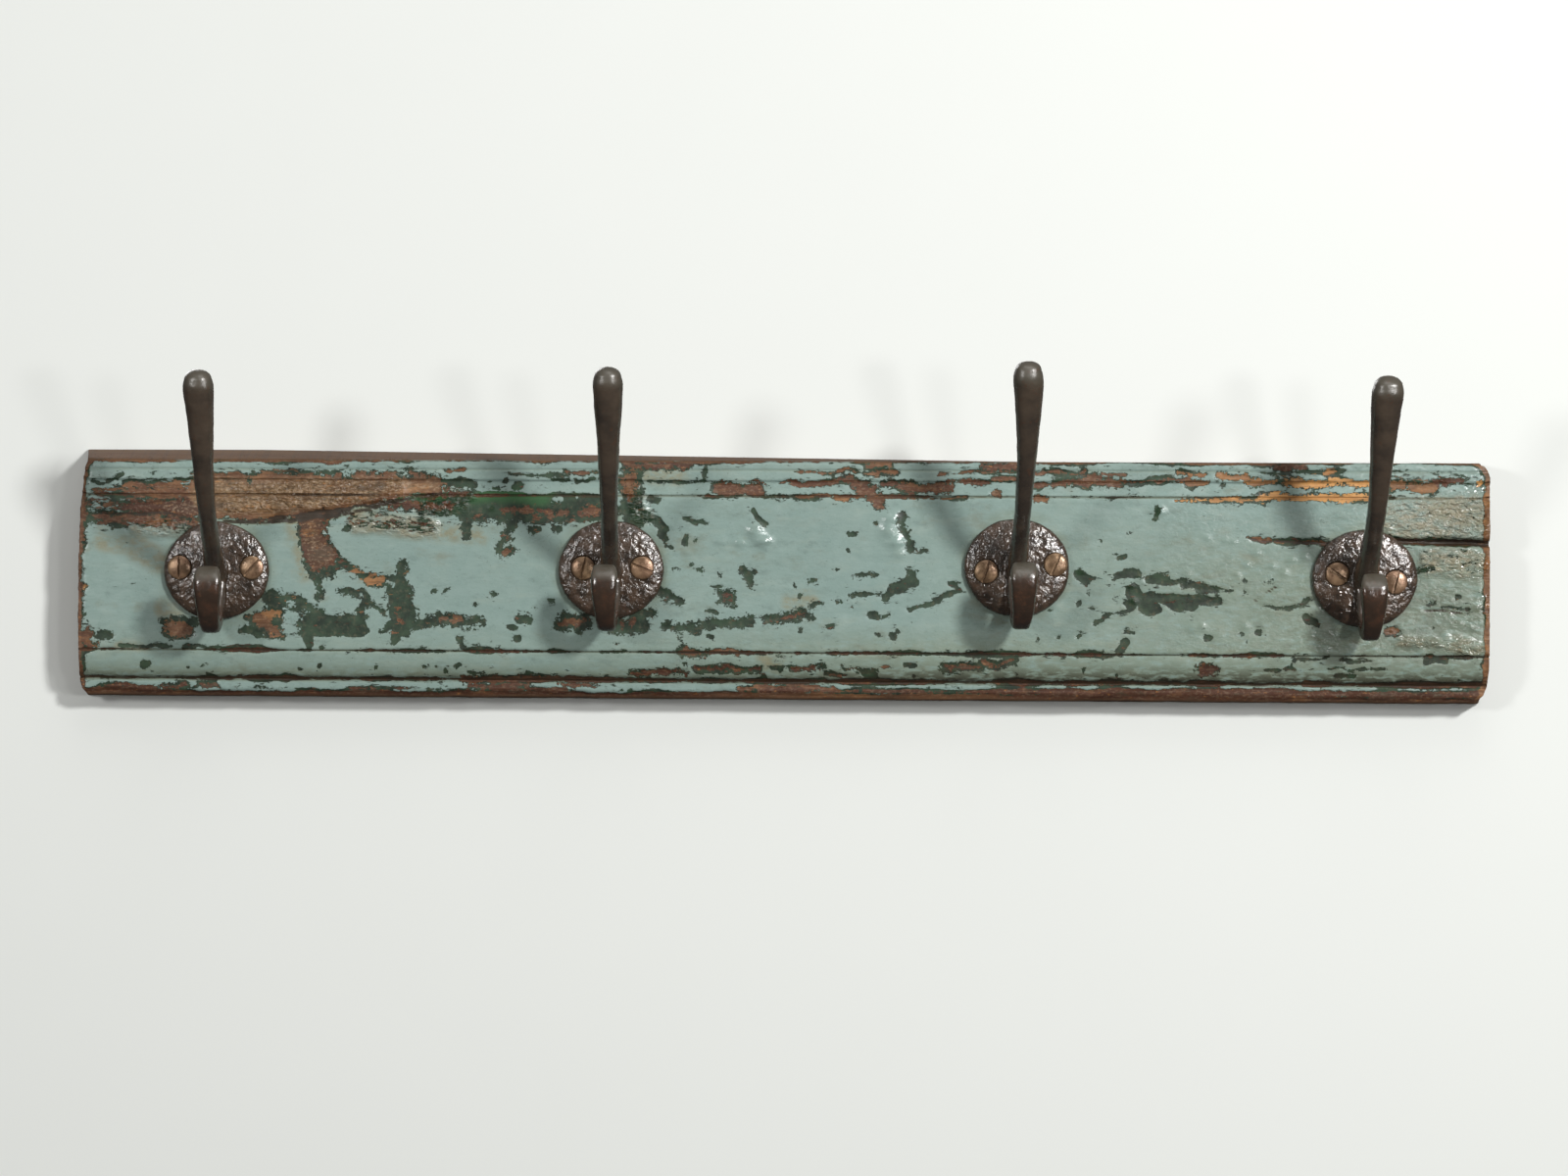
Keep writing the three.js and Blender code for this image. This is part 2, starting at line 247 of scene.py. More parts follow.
def write_attribute(obj, name, values):
    attribute = obj.data.attributes.new(name, "FLOAT", "POINT")
    attribute.data.foreach_set("value", np.asarray(values, np.float32))


def shade(obj, sharp_angle=None):
    """Smooth shading, with edges sharper than the angle in degrees kept crisp."""
    for polygon in obj.data.polygons:
        polygon.use_smooth = True
    if sharp_angle is not None:
        obj.data.set_sharp_from_angle(angle=math.radians(sharp_angle))
    return obj


def finish_piece(obj, material, node):
    obj.data.materials.clear()
    obj.data.materials.append(material)
    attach(obj, "root")
    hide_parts(node)


# ---- node graph ---------------------------------------------------------------------------
class Graph:
    """A thin layer over a material's nodes. Values may be sockets, numbers or tuples."""

    def __init__(self, name):
        self.material = bpy.data.materials.new(name)
        self.material.use_nodes = True
        self.tree = self.material.node_tree
        self.tree.nodes.clear()
        self.shader = self.add("BsdfPrincipled")
        output = self.add("OutputMaterial")
        self.tree.links.new(self.shader.outputs[0], output.inputs[0])
        position = self.add("TexCoord").outputs["Object"]
        self.mm = self.scale(position, (1 / MM, 1 / MM, 1 / MM))

    def add(self, kind, **settings):
        node = self.tree.nodes.new("ShaderNode" + kind)
        for key, value in settings.items():
            setattr(node, key, value)
        return node

    def feed(self, socket, value):
        if isinstance(value, bpy.types.NodeSocket):
            self.tree.links.new(value, socket)
        elif isinstance(value, tuple) and len(value) == 3 and socket.type == "RGBA":
            socket.default_value = (*value, 1)
        else:
            socket.default_value = value

    def scale(self, vector, factors):
        node = self.add("VectorMath", operation="MULTIPLY")
        self.feed(node.inputs[0], vector)
        node.inputs[1].default_value = factors
        return node.outputs[0]

    def math(self, operation, a, b=0.0, c=0.0):
        node = self.add("Math", operation=operation)
        for socket, value in zip(node.inputs, (a, b, c)):
            self.feed(socket, value)
        return node.outputs[0]

    def noise(self, size, detail=3.0, rough=0.55, shift=0.0, warp=0.0):
        """Noise from 0 to 1 with a grain of size mm, one number or one per axis."""
        sizes = size if isinstance(size, tuple) else (size, size, size)
        vector = self.scale(self.mm, tuple(1 / s for s in sizes))
        node = self.add("TexNoise", noise_dimensions="4D")
        self.feed(node.inputs["Vector"], vector)
        node.inputs["W"].default_value = shift
        node.inputs["Scale"].default_value = 1.0
        node.inputs["Detail"].default_value = detail
        node.inputs["Roughness"].default_value = rough
        node.inputs["Distortion"].default_value = warp
        return node.outputs["Fac"]

    def cells(self, size):
        """Distance to the nearest of points scattered size mm apart."""
        node = self.add("TexVoronoi")
        self.feed(node.inputs["Vector"], self.scale(self.mm, (1 / size,) * 3))
        node.inputs["Scale"].default_value = 1.0
        return node.outputs["Distance"]

    def flakes(self, size, shift):
        """One random value from 0 to 1 for each cell of a jagged mosaic."""
        node = self.add("TexVoronoi", voronoi_dimensions="4D")
        bend = self.add("TexNoise")
        self.feed(bend.inputs["Vector"], self.scale(self.mm, (1.4 / size,) * 3))
        bend.inputs["Scale"].default_value = 1.0
        vector = self.add("VectorMath", operation="MULTIPLY_ADD")
        self.feed(vector.inputs[0], bend.outputs["Color"])
        vector.inputs[1].default_value = (0.9, 0.9, 0.9)
        self.feed(vector.inputs[2], self.scale(self.mm, (1 / size,) * 3))
        self.feed(node.inputs["Vector"], vector.outputs[0])
        node.inputs["W"].default_value = shift
        node.inputs["Scale"].default_value = 1.0
        parts = self.add("SeparateColor")
        self.feed(parts.inputs[0], node.outputs["Color"])
        return parts.outputs[0]

    def attribute(self, name):
        return self.add("Attribute", attribute_name=name).outputs["Fac"]

    def span(self, value, low, high, to_low=0.0, to_high=1.0, smooth=True):
        kind = "SMOOTHSTEP" if smooth else "LINEAR"
        node = self.add("MapRange", interpolation_type=kind)
        for socket, v in zip(node.inputs, (value, low, high, to_low, to_high)):
            self.feed(socket, v)
        return node.outputs[0]

    def mix(self, factor, a, b, blend="MIX"):
        node = self.add("Mix", data_type="RGBA", blend_type=blend)
        for index, value in ((0, factor), (6, a), (7, b)):
            self.feed(node.inputs[index], value)
        return node.outputs[2]

    def blend(self, factor, a, b):
        node = self.add("Mix", data_type="FLOAT")
        for index, value in ((0, factor), (2, a), (3, b)):
            self.feed(node.inputs[index], value)
        return node.outputs[0]

    def ramp(self, factor, stops):
        node = self.add("ValToRGB")
        self.feed(node.inputs[0], factor)
        elements = node.color_ramp.elements
        while len(elements) < len(stops):
            elements.new(0.5)
        for element, (position, colour) in zip(elements, stops):
            element.position = position
            element.color = (*colour, 1)
        return node.outputs[0]

    def total(self, *terms):
        """Sum of (socket, weight) pairs."""
        result = 0.0
        for socket, weight in terms:
            result = self.math("MULTIPLY_ADD", socket, weight, result)
        return result

    def bump(self, height):
        """Bump from a height in mm."""
        node = self.add("Bump")
        node.inputs["Distance"].default_value = MM
        self.feed(node.inputs["Height"], height)
        self.tree.links.new(node.outputs[0], self.shader.inputs["Normal"])

    def set(self, **values):
        for key, value in values.items():
            self.feed(self.shader.inputs[key.replace("_", " ")], value)


# ---- wear on the plank --------------------------------------------------------------------
def strokes(rows, extra=0):
    """Strokes (x0, z0, x1, z1, r0, r1): tapered streaks between two points, with their half widths.

    Short forms are (x, z, r) for a dot, (x0, x1, z, r) for a level streak and (x0, x1, z, r0, r1)
    for one that tapers. The last extra numbers of a row are about something else and stay.
    """
    full = []
    for row in rows:
        shape, rest = row[:len(row) - extra], row[len(row) - extra:]
        if len(shape) == 3:
            x, z, r = shape
            shape = (x, z, x, z, r, r)
        elif len(shape) < 6:
            x0, x1, z, r = shape[:4]
            shape = (x0, z, x1, z, r, shape[-1])
        full.append((*shape, *rest))
    return full


# Strokes are in mm, measured level with the room. BARE ones go through both coats and end with the
# tone of the wood: 0 red brown, 0.5 tan, 1 raw orange.
BARE = strokes([
    (-306.5, -2.8, 1.1, 1), (-305.5, -304.5, 33, 0.8, 0.3), (-308, -23, -302, -28, 3.2, 1.4, 0.3),
    (-290, 31, -272, 32.3, 1.4, 3.8, 0), (-272, 32.3, -254, 33, 3.8, 4.6, 0),
    (-297, -272, 27.2, 1, 1.4, 0.3), (-286, 39.5, -264, 39.8, 1, 1.8, 0.4),
    (-268, -21, -260, -22, 3.4, 2.4, 0.5), (-252, 37, -225, 36.5, 9.5, 9.8, 0.5),
    (-225, 37, -200, 38, 9.8, 8.6, 0.5), (-200, 38.5, -180, 40.5, 8.2, 6.5, 0.4),
    (-180, 41, -153, 42.3, 5.4, 3.6, 0.45), (-203, -180, 52.6, 0.3, 0.4),
    (-172, 33, -160, 33.5, 1.6, 1.7, 0.05), (-207, 26, -207, 17, 6, 5.2, 0.15),
    (-207, 17, -203, 11, 5.2, 6.5, 0.15), (-180.5, 0.6, -175.5, 0.4, 1.8, 1.8, 0.75),
    (-169, -12, -168, -17, 0.8, 1, 0.3), (-228, -15, -222, -15.5, 2, 1.8, 0.7), (-150, -142, -17, 0.9, 0.5),
    (-231, -17, -222, -23, 2.3, 2.3, 0.5), (-148, -140, 49, 0.5, 0.5), (-110, -100, 52.6, 0.6, 0.5),
    (-95, -81, 48, 0.6, 0.4), (-156, -141, 38.5, 1.6, 1.2, 0.1), (-155, -146, 33, 1, 0.8, 0.1),
    (-122, -97, 30.3, 1.2, 1.4, 0.35), (-122.5, -120.5, 12.5, 1.3, 0.4), (-88, -82, 30, 1.6, 0.3),
    (-140, -98, -42.8, 1.1, 1.3, 0.3), (-70, -42, 50.9, 1.6, 1.5, 0.05), (-69, 45, -67, 37, 2.2, 2.6, 0.4),
    (-28, -12, 40.3, 2.6, 3, 0.3), (-4, 20, 42.3, 0.6, 0.4), (-26.5, -23.5, -7, 0.7, 0.2),
    (-96, -89, -18, 1.1, 1.3, 0.25), (-72, -19, -66, -18, 0.9, 1.1, 0.25),
    (-5, -16.2, 8, -15, 0.5, 0.8, 0.2), (-43, -36, -31, 1, 0.4), (-35, -20, -31.3, 0.8, 0.4),
    (-66, -44, -40.6, 1.1, 1.3, 0.1), (-40, -38.4, -12, -38.2, 0.5, 0.7, 0.1),
    (-20, -46.8, 20, -47.2, 1, 1, 0.4), (35, 47, 51, 0.9, 0.5), (5, 30, 48, 0.3, 0.5),
    (34, 50, 47.8, 0.8, 0.6, 0.5), (68, 83, 47, 0.3, 0.5), (0, 30, 43, 0.9, 1, 0.3),
    (29, 44, 40, 37, 1.5, 3, 0.3), (40, 37, 43, 34, 3, 1.6, 0.3), (5, 36.6, 30, 36.5, 0.5, 0.8, 0.55),
    (30, 36.5, 80, 36.6, 0.2, 0.2, 0.6), (43, 50, 42.5, 0.9, 0.3), (53, 42, 59, 41, 2, 2, 0.3),
    (61, 71, 41, 2, 1.8, 0.25), (72, 83, 43.5, 0.9, 0.3), (5, -38.3, 15, -37.8, 0.7, 0.8, 0.15),
    (17, 28, -40.5, 0.4, 0.4), (27, 47, -38, 0.5, 0.4), (70, 83, -38, 0.6, 0.15),
    (89, 50, 101, 49.8, 1.5, 1.4, 0.25), (79, 100, 47.5, 0.3, 0.4), (80, 90, 42.8, 1, 0.25),
    (92, 100, 44.5, 0.9, 0.3), (109.5, 114.5, 42.8, 1.1, 0.3), (118, 132, 43, 1.3, 0.35),
    (133, 43.8, 148, 43.6, 1.6, 1.4, 0.4), (148, 177, 43.5, 0.35, 0.4), (110, 132, 47.8, 0.6, 0.5, 0.4),
    (140, 150, 47, 0.5, 0.4), (91.5, 94.5, 38, 1.1, 0.5), (108.5, 114.5, 35.8, 1.1, 0.5),
    (79, 86, -37, 0.8, 0.4), (88, -35, 94, -37.5, 0.6, 0.6, 0.4), (94, -37.5, 103, -35.5, 0.6, 0.6, 0.4),
    (215, 226, 50.2, 1.5, 0.15), (173, 184, 46.3, 0.7, 0.7), (178, 185, 43.3, 1.1, 0.6),
    (191, 45.6, 202, 45.4, 1.6, 1.3, 0.7), (202, 208, 43.5, 1.3, 0.8), (210.5, 214, 43, 1, 0.8),
    (219, 225, 43, 1.8, 0.85), (225, 42.5, 257, 42.3, 1.4, 1.1, 1), (172, 35.8, 207, 35.7, 0.45, 0.8, 0.9),
    (208, 36, 255, 35.8, 1.5, 1.4, 1), (203, 18, 222, 17, 0.4, 0.5, 0.5), (222, 17, 237, 16, 0.5, 0.6, 0.5),
    (236.5, 243, 47, 0.9, 0.8), (266, 271, 41.8, 1.6, 0.6), (274, 283, 41, 2, 2.2, 0.6),
    (285, 296, 43, 1, 0.15), (305, 43, 306, 41, 1.3, 1, 1), (184.5, 188.5, -40, 2.3, 2.2, 0),
    (265, 267, -22, 1.5, 0.6), (-300, -289, -46, 0.8, 0.15), (-273, -263, -46, 0.9, 0.8, 0.15),
    (-256, -251, -46, 0.8, 0.15), (-139, -121, -46, 0.9, 0.2), (-124, -113, -45.8, 1.3, 1.1, 0.25),
    (-98, -81, -46, 0.8, 0.2),
], extra=1)
# Streaks through the teal only, down to the dark green coat.
GREEN = strokes([
    (-303, 43, -290, 46.5, 0.7, 0.7), (-289, -275, 42.5, 1.5), (-268, -258, 44.5, 0.6),
    (-305, -262, 27.6, 1.4, 2.2), (-300, -296.5, -24, 1.4, 1), (-294, -283, 36.3, 1), (-303, -288, 24.5, 1),
    (-270, -17.5, -258, -18.5, 1.5, 1.8), (-290, -268, -28.5, 0.7), (-262, -230, -29.3, 0.6),
    (-280.5, -277.5, -37, 1.1), (-260.5, -37, 0.9), (-253, -37, 0.9), (-251, -41.7, 0.8),
    (-225, 47.6, -198, 48, 0.9, 0.9), (-206, 7, -197, 5, 2.8, 2.6), (-195, 8, -181, 2, 1.4, 1.4),
    (-168, 7, -168, -6, 2, 2.2), (-168, -6, -168, -20, 4.4, 4.6), (-169, -20, -172, -28, 2, 1),
    (-171, -18, -176, -22, 1.6, 1), (-192, 22, 1.5), (-209, 8, -203, 0, 1.6, 1.4),
    (-203, 0, -202, -7, 1.4, 1.4), (-225, -212, -7, 1.8, 1.6), (-223, -8, -223, -18, 4.2, 4),
    (-213, -9, -205, -15, 3.4, 3.4), (-207, -187, -19.5, 4.6, 4.8), (-184, -5, -184, -15, 1.8, 2),
    (-193, -5, -188, -5.5, 1.6, 1.6), (-232, -18, -221, -24, 3, 2.6), (-210, -21, -208, -28, 2.4, 1.6),
    (-203, -24, 1), (-202, -29, 0.9), (-238, -22.5, -224, -23, 1.3, 2.2), (-236, -17, -226, -18, 1, 1.6),
    (-180, -10, -176, -14, 1.2, 1.2), (-166, -19.5, -150, -17.5, 1.6, 2),
    (-150, -17.5, -131, -18.5, 2, 1.2), (-212, -39, 1), (-204, -37.5, 0.9), (-177, -37.5, 0.9),
    (-157, -37.5, 0.9), (-121, -102, 46.5, 0.6), (-103, -94, 45, 0.6), (-91, -81, 44.5, 0.6),
    (-154, -138, 43, 1.6, 1.4), (-133, 41.8, 0.9), (-128, 41, -125, 42, 0.8, 0.8), (-122, 44.5, 0.8),
    (-117.5, -116.5, 41.5, 1.5), (-156, -138, 35, 5), (-138, 33, -120, 32.5, 6.2, 6.5),
    (-120, -100, 32, 6.3, 6), (-100, -80, 32, 6), (-118, 24, -125, 16, 1.6, 1.3), (-123, -120, 12.5, 1.9),
    (-109.5, 22, 1.5), (-101, -99, 23.5, 1.4), (-140, 24.5, -140, 19.5, 1.2, 1.2), (-141.5, 29, 1),
    (-152.5, -4.5, 0.8), (-147, -4.5, 0.8), (-128, -7, 0.8), (-137, -11, 0.8), (-105, -101, -8.5, 0.5),
    (-110, -108, -12.3, 0.7), (-141, -26, -141, -29.5, 1.6, 1.4), (-116, -112, -17, 1.9, 1.8),
    (-121.5, -118.5, -21, 1.4), (-119, -117, -26, 1.4), (-99, -20.5, -94, -19, 2.2, 2.4),
    (-95, -16, -88, -18, 2.4, 3.4), (-147, -39.5, 0.9), (-142, -37.5, 0.9),
    (-137, -39.5, -130, -39.2, 0.6, 0.6), (-152, -36.5, 0.9), (-68, 46, -66, 30, 4.6, 5.6),
    (-60, -33, 43.3, 0.5), (-34, 45, -34, 49, 0.5, 0.5), (-58, -55, 35.5, 1.4), (-60, 30, -52, 19, 2, 1.8),
    (-44, 27, -36, 25, 0.7, 0.6), (-42.5, 19.5, -42.5, 16.5, 1.3, 1.3), (-36, 15, 37.3, 0.5, 0.4),
    (-13, 31, -8, 24, 1.2, 1), (-50, 15, 1), (-48, 4.5, 0.9), (-37, 18, 1), (-40.5, 7, 1), (-36.5, 5, 1),
    (-28, 2.5, 1), (-18, 4.5, -14.5, 1, 1.2, 1.2), (-12, 3.5, -14.5, 1, 1, 1),
    (-14.5, 1, -13.5, -2, 1, 0.8), (-32, -28, -2.8, 0.6), (-27.5, -22.5, -7, 2.3, 2.2), (-33, -29, -13, 1),
    (-22, -11, 1), (-54, -5.5, -46, -9.5, 1.8, 1.8), (-76, -20, -62, -19, 2, 3.6),
    (-66, -15, -58, -14, 2, 2), (-51, -20.5, -38, -21, 1.6, 2.7), (-34, -18.6, -22, -18, 1.9, 1.7),
    (-21, -17.8, -14, -17.2, 1.9, 1.8), (-31, -21.5, 1), (-7, -16.3, 9, -14.8, 1.8, 2.2), (-45, -26, 1),
    (-31, -25.5, 1), (-73, -27.5, 1), (-44, -36, -31, 2, 1.8), (-44, -37, 1), (-10, -41.5, 1),
    (-8, 5, -37.5, 0.5), (0, -39.5, 0.8), (60.3, 63.7, 12.5, 0.8), (29.5, 20.5, 0.9), (28, 13.3, 0.9),
    (21.5, 5, 0.8), (40.5, 24.5, 0.9), (11.5, 15.5, 0, 0.8, 0.7), (31, 1.5, 39, 3, 0.6, 0.6),
    (5.5, -3, 0.8), (6.5, -7.5, 0.8), (10, -12, 17, -10, 0.7, 0.6), (29.5, 34.5, -6.5, 1.2, 1.1),
    (36, 40, -6, 0.6, 0.5), (43, -6.5, 57, 0, 1.7, 2), (57, 0, 56, 4, 2, 1.5), (54, -13, 77, -4.5, 0.8, 1),
    (23, -9, 0.8), (29, -11, 0.8), (38.5, 40.5, -16, 1.5, 1.4), (44, -16.3, 47, -14.5, 0.9, 0.9),
    (17.5, 22.5, -19.7, 0.6), (46.5, -24, 1.6), (49, -21.5, 1), (40, -23.5, 1), (8, -22, 0.8),
    (73.5, 75.5, -1.5, 1.4), (51, 28, 56, 14, 1.6, 1.5), (36, -40, 40, -42.5, 2.4, 2.4),
    (54, 58, -36.5, 1.2), (57, -41.5, 1), (10, 17, -42.5, 0.6), (139, 17, 0.7), (146.5, 148.5, 10.5, 1.1),
    (152.5, 20.2, 0.7), (129, 3, 133, -0.5, 2, 1.8), (136, 0, 0.9), (140.5, 4, 0.9), (144.5, 0, 0.8),
    (147, 154, 2.5, 2.2, 2), (153, -5, 160, -12, 2.6, 2.4), (152, -11, 160, -6, 1.6, 1.6),
    (133.5, -5.3, 0.9), (127.5, -9.3, 1.3), (135, -12.5, 0.9), (118, -13, 0.8),
    (135, -18, 143, -15, 1, 0.9), (143, -15, 152, -12.5, 0.4, 0.4), (147.5, 152.5, -23, 0.7),
    (129, -24, 0.8), (121, -24, 0.8), (111, -26, 0.8), (147.5, -28, 147.5, -31, 2.2, 2), (139, -31, 0.9),
    (132, -39.5, 0.8), (146.5, -41, 0.8), (209, 237, 47.5, 0.5), (192, 41.5, 1),
    (162, 32.5, 162, 27.5, 0.9, 0.9), (159, 166, 1.5, 1.4), (165, 177, 0, 1, 0.9),
    (176, -2, 189, -4.5, 1.5, 1.6), (161, -7, 162, -12, 3, 2.6), (168, -9, 178, -11, 2.6, 2.4),
    (180, -8.5, 190, -10, 2.1, 1.8), (160, -7, 184, -7.2, 1.2, 1.4), (186, 195, -4.5, 0.7, 0.6),
    (200, 0.3, 0.7), (201, -5, 0.7), (212.5, -1.5, 0.7), (178, -16, 0.8), (185, 188, -24.5, 1.3),
    (209, -23, 1.9), (199.5, -24, 0.9), (203, -28, 0.9), (208, 222, -11.5, 0.6, 0.5),
    (222, -11, 230, -9, 0.5, 0.6), (228, -16, 232, -18, 1.8, 1.6), (209, -33.5, 0.8),
    (211, 223, -39.3, 0.5), (220, -39, 226, -35.5, 0.5, 0.5), (226, -35.5, 237, -34, 0.5, 0.5),
    (277, 283, 5, 0.8, 0.7), (296, -8, 1), (283, -10, 1), (288, 300, -12, 0.5), (285, -20, 0.9),
    (281, 289, -34.8, 1.5), (244, 256, -35.5, 0.6), (238, 265, -39, 0.4), (240, 250, -41.5, 0.6),
])
# Where the green coat is still bright.
FRESH_GREEN = strokes([
    (-134, 37.5, -106, 36.5, 2.6, 2.6), (-168, 36, -150, 38, 1, 1.4),
])
# Flakes of teal left standing inside the bare places.
ISLANDS = strokes([
    (-194, -190, 46.5, 1.3), (-169, -166, 46.5, 1.3, 1.2), (-159.5, -156.5, 47.5, 0.9), (-234, 44.5, 1.2),
    (-197.5, 21, -197.5, 17, 2.6, 2.6), (-216, -10.5, -216, -13.5, 2.4, 2.4), (-209, -13, 1.4),
    (-101.3, -98.7, 35.5, 1.3), (-91, 36, 1.2), (-48, -42, 1.4),
])
# Yellowish stains in the teal.
STAINS = strokes([
    (-299, 18, -290, 16, 3, 2), (-282, 14, -272, 8, 4, 3), (-271, -12, -266, -14, 2, 1.5),
    (-214, 23, -209, 6, 4, 4), (-186, 26, -134, 20, 4, 2), (-8.5, -1.5, -35.6, 1.4), (4, -9, 12, -8, 2, 2),
    (-66, 47, -46, 46, 3, 2), (-290, -283, -28.6, 0.8), (288, 31, 303, 28, 4, 3),
])
# Scuffed places, where the coats hang on only in flakes, and how badly each is scuffed.
SCUFFS = strokes([
    (-300, -262, 46, 2.5, 0.3), (-300, 39, -262, 40, 3, 4.5, 1.1), (-304, -270, 33, 3, 4, 0.95),
    (-302, 26.5, -256, 25, 2.5, 3.5, 1.05), (-262, 46, -205, 47.5, 2, 2.5, 0.8),
    (-190, 26.5, -156, 24.5, 3, 3.2, 0.9), (-178, 22, -160, 27, 2, 2, 0.5),
    (-205, 50, -150, 47.5, 1.5, 2, 0.5), (-178, 33, -150, 37, 3, 4, 0.7), (-182, 29, -172, 31, 2, 2, 0.9),
    (-160, -105, 40, 3, 0.45), (-158, 28, -130, 27, 3, 3, 0.6), (-110, -84, 27, 3, 0.7),
    (-197, 10, -178, 2, 2, 3, 0.8), (-232, -19, -205, -20, 3.5, 3.5, 0.45),
    (-305, -22, -301, -29, 2, 2, 0.6), (-300, -294, -25, 2, 0.5), (-98, -17, -60, -18, 5, 5, 0.4),
    (-60, 34, -50, 22, 5, 4, 0.45), (85, 46, 240, 45, 3.5, 3.5, 0.35), (262, 46, 303, 44, 3, 3, 0.75),
    (266, 38, 300, 37, 3, 3, 0.5), (268, 28, 302, 26, 9, 9, 0.34), (282, 304, 8, 6, 0.48),
    (124, 3, 190, -4, 4, 5, 0.42), (150, 190, -9, 4, 0.45), (-150, -40, 100, -39.5, 3, 3, 0.3),
    (205, 290, -38, 3.5, 0.4),
], extra=1)
# Thick crazed varnish.
VARNISH = strokes([
    (-283, -265, 23.5, 3.5), (-240, 36, -170, 40, 7, 5), (-188, 24.5, -157, 24, 3.5, 4),
    (268, 300, 27.5, 8.5, 9.5), (284, 302, 8, 6), (-156, 34, -140, 36, 5, 4), (-66, 37, -62, 30, 4, 4),
    (270, -26, 304, -30, 2, 2.5),
])
# Beads of varnish that catch the light.
BEADS = [
    (46.5, 27, 3.4), (45.8, 22, 3.6), (48, 16.5, 3.4), (50.5, 11.5, 2.2), (-12.5, 22, 3.4),
    (-10, 17.5, 3.4), (-8, 18, 2), (-28, 17.5, 2.2), (-20, 17, 2.4), (-42.5, 13, 1.6), (129.5, 4, 1.7),
    (152, -3, 1.7), (154, -9, 1.7), (155.5, 0.5, 1.6), (163.5, 31, 2.4), (162, 27, 1.6), (185, 18.5, 1.5),
    (192.5, 18, 1.5), (196, 17.5, 1.5), (202.5, 7, 1.5), (214, 6, 1.5), (198, 3, 1.5), (219, 3, 1.6),
    (222, 9, 1.6), (177, 2.5, 1.6), (178.5, -21, 1.8), (183, -20.5, 1.8), (202, -20, 1.7), (207, 12, 1.4),
    (228, 10, 1.4), (266, -22, 1.6), (276, -28, 1.6), (285, -27, 1.7), (296, -29, 1.7), (279, -31, 1.6),
    (290, -24, 1.5), (301, -21, 1.5), (258.5, -30, 1.5), (248, -28, 1.5), (303, -12, 1.5), (305, 3, 1.5),
    (304, -4, 1.4), (44, 50, 1.6), (162.5, 50.3, 1.5), (173.5, 50.7, 1.5), (-169, 42.7, 1.8),
    (-230, 40, 1.5), (-127.5, 31.5, 1.6), (-91.5, 38, 1.6), (-66, 32, 1.9), (-62, 34, 1.7), (-155, 47, 1.5),
]
# Dark cracks, with their half widths.
CRACKS = strokes([
    (-245, 25.4, -220, 26.4, 0.6, 1.5), (-220, 26.4, -202, 29, 1.5, 1.9), (-202, 29, -182, 32.8, 1.9, 1.6),
    (-182, 32.8, -168, 35.9, 1.6, 0.8), (-168, 35.9, -150, 37.7, 0.7, 0.3),
    (-202.5, 36.5, -202, 31, 0.1, 0.2), (-69.5, 41, -69.5, 35, 0.3, 0.1), (-300, 29, -282, 30, 0.1, 0.5),
    (-282, 30, -262, 29, 0.5, 0.2), (216, -3, 206, -9, 0.1, 0.1), (236, -12, 262, -13.5, 0.1, 0.2),
    (280, -13, 300, -14, 0.2, 0.1),
])
# Drying split: a line (x, z) that opens towards the right end.
SPLIT = [(203, 18), (222, 17), (237, 16), (262, 17.2), (285, 16.8), (309, 16.2)]


def level(x, z):
    """Height on the plank of a place that was measured level with the room."""
    return z + x * math.tan(ROLL)


def streak_distance(x, z, stroke):
    x0, z0, x1, z1, r0, r1 = stroke[:6]
    z0, z1 = level(x0, z0), level(x1, z1)
    dx, dz = x1 - x0, z1 - z0
    t = np.clip(((x - x0) * dx + (z - z0) * dz) / max(dx * dx + dz * dz, 1e-9), 0, 1)
    return np.hypot(x - x0 - t * dx, z - z0 - t * dz) - (r0 + (r1 - r0) * t)


def nearest(x, z, strokes):
    """Signed distance to the nearest stroke, below zero inside it, and that stroke's number."""
    best = np.full(len(x), 99.0)
    owner = np.zeros(len(x), int)
    for i, stroke in enumerate(strokes):
        distance = streak_distance(x, z, stroke)
        closer = distance < best
        best[closer] = distance[closer]
        owner[closer] = i
    return best, owner


def tears(strokes_of_kind):
    """How raggedly each stroke is torn: the wider it is, the more."""
    return np.array([0.24 + 0.44 * min(max(stroke[4:6]), 2.4) for stroke in strokes_of_kind])


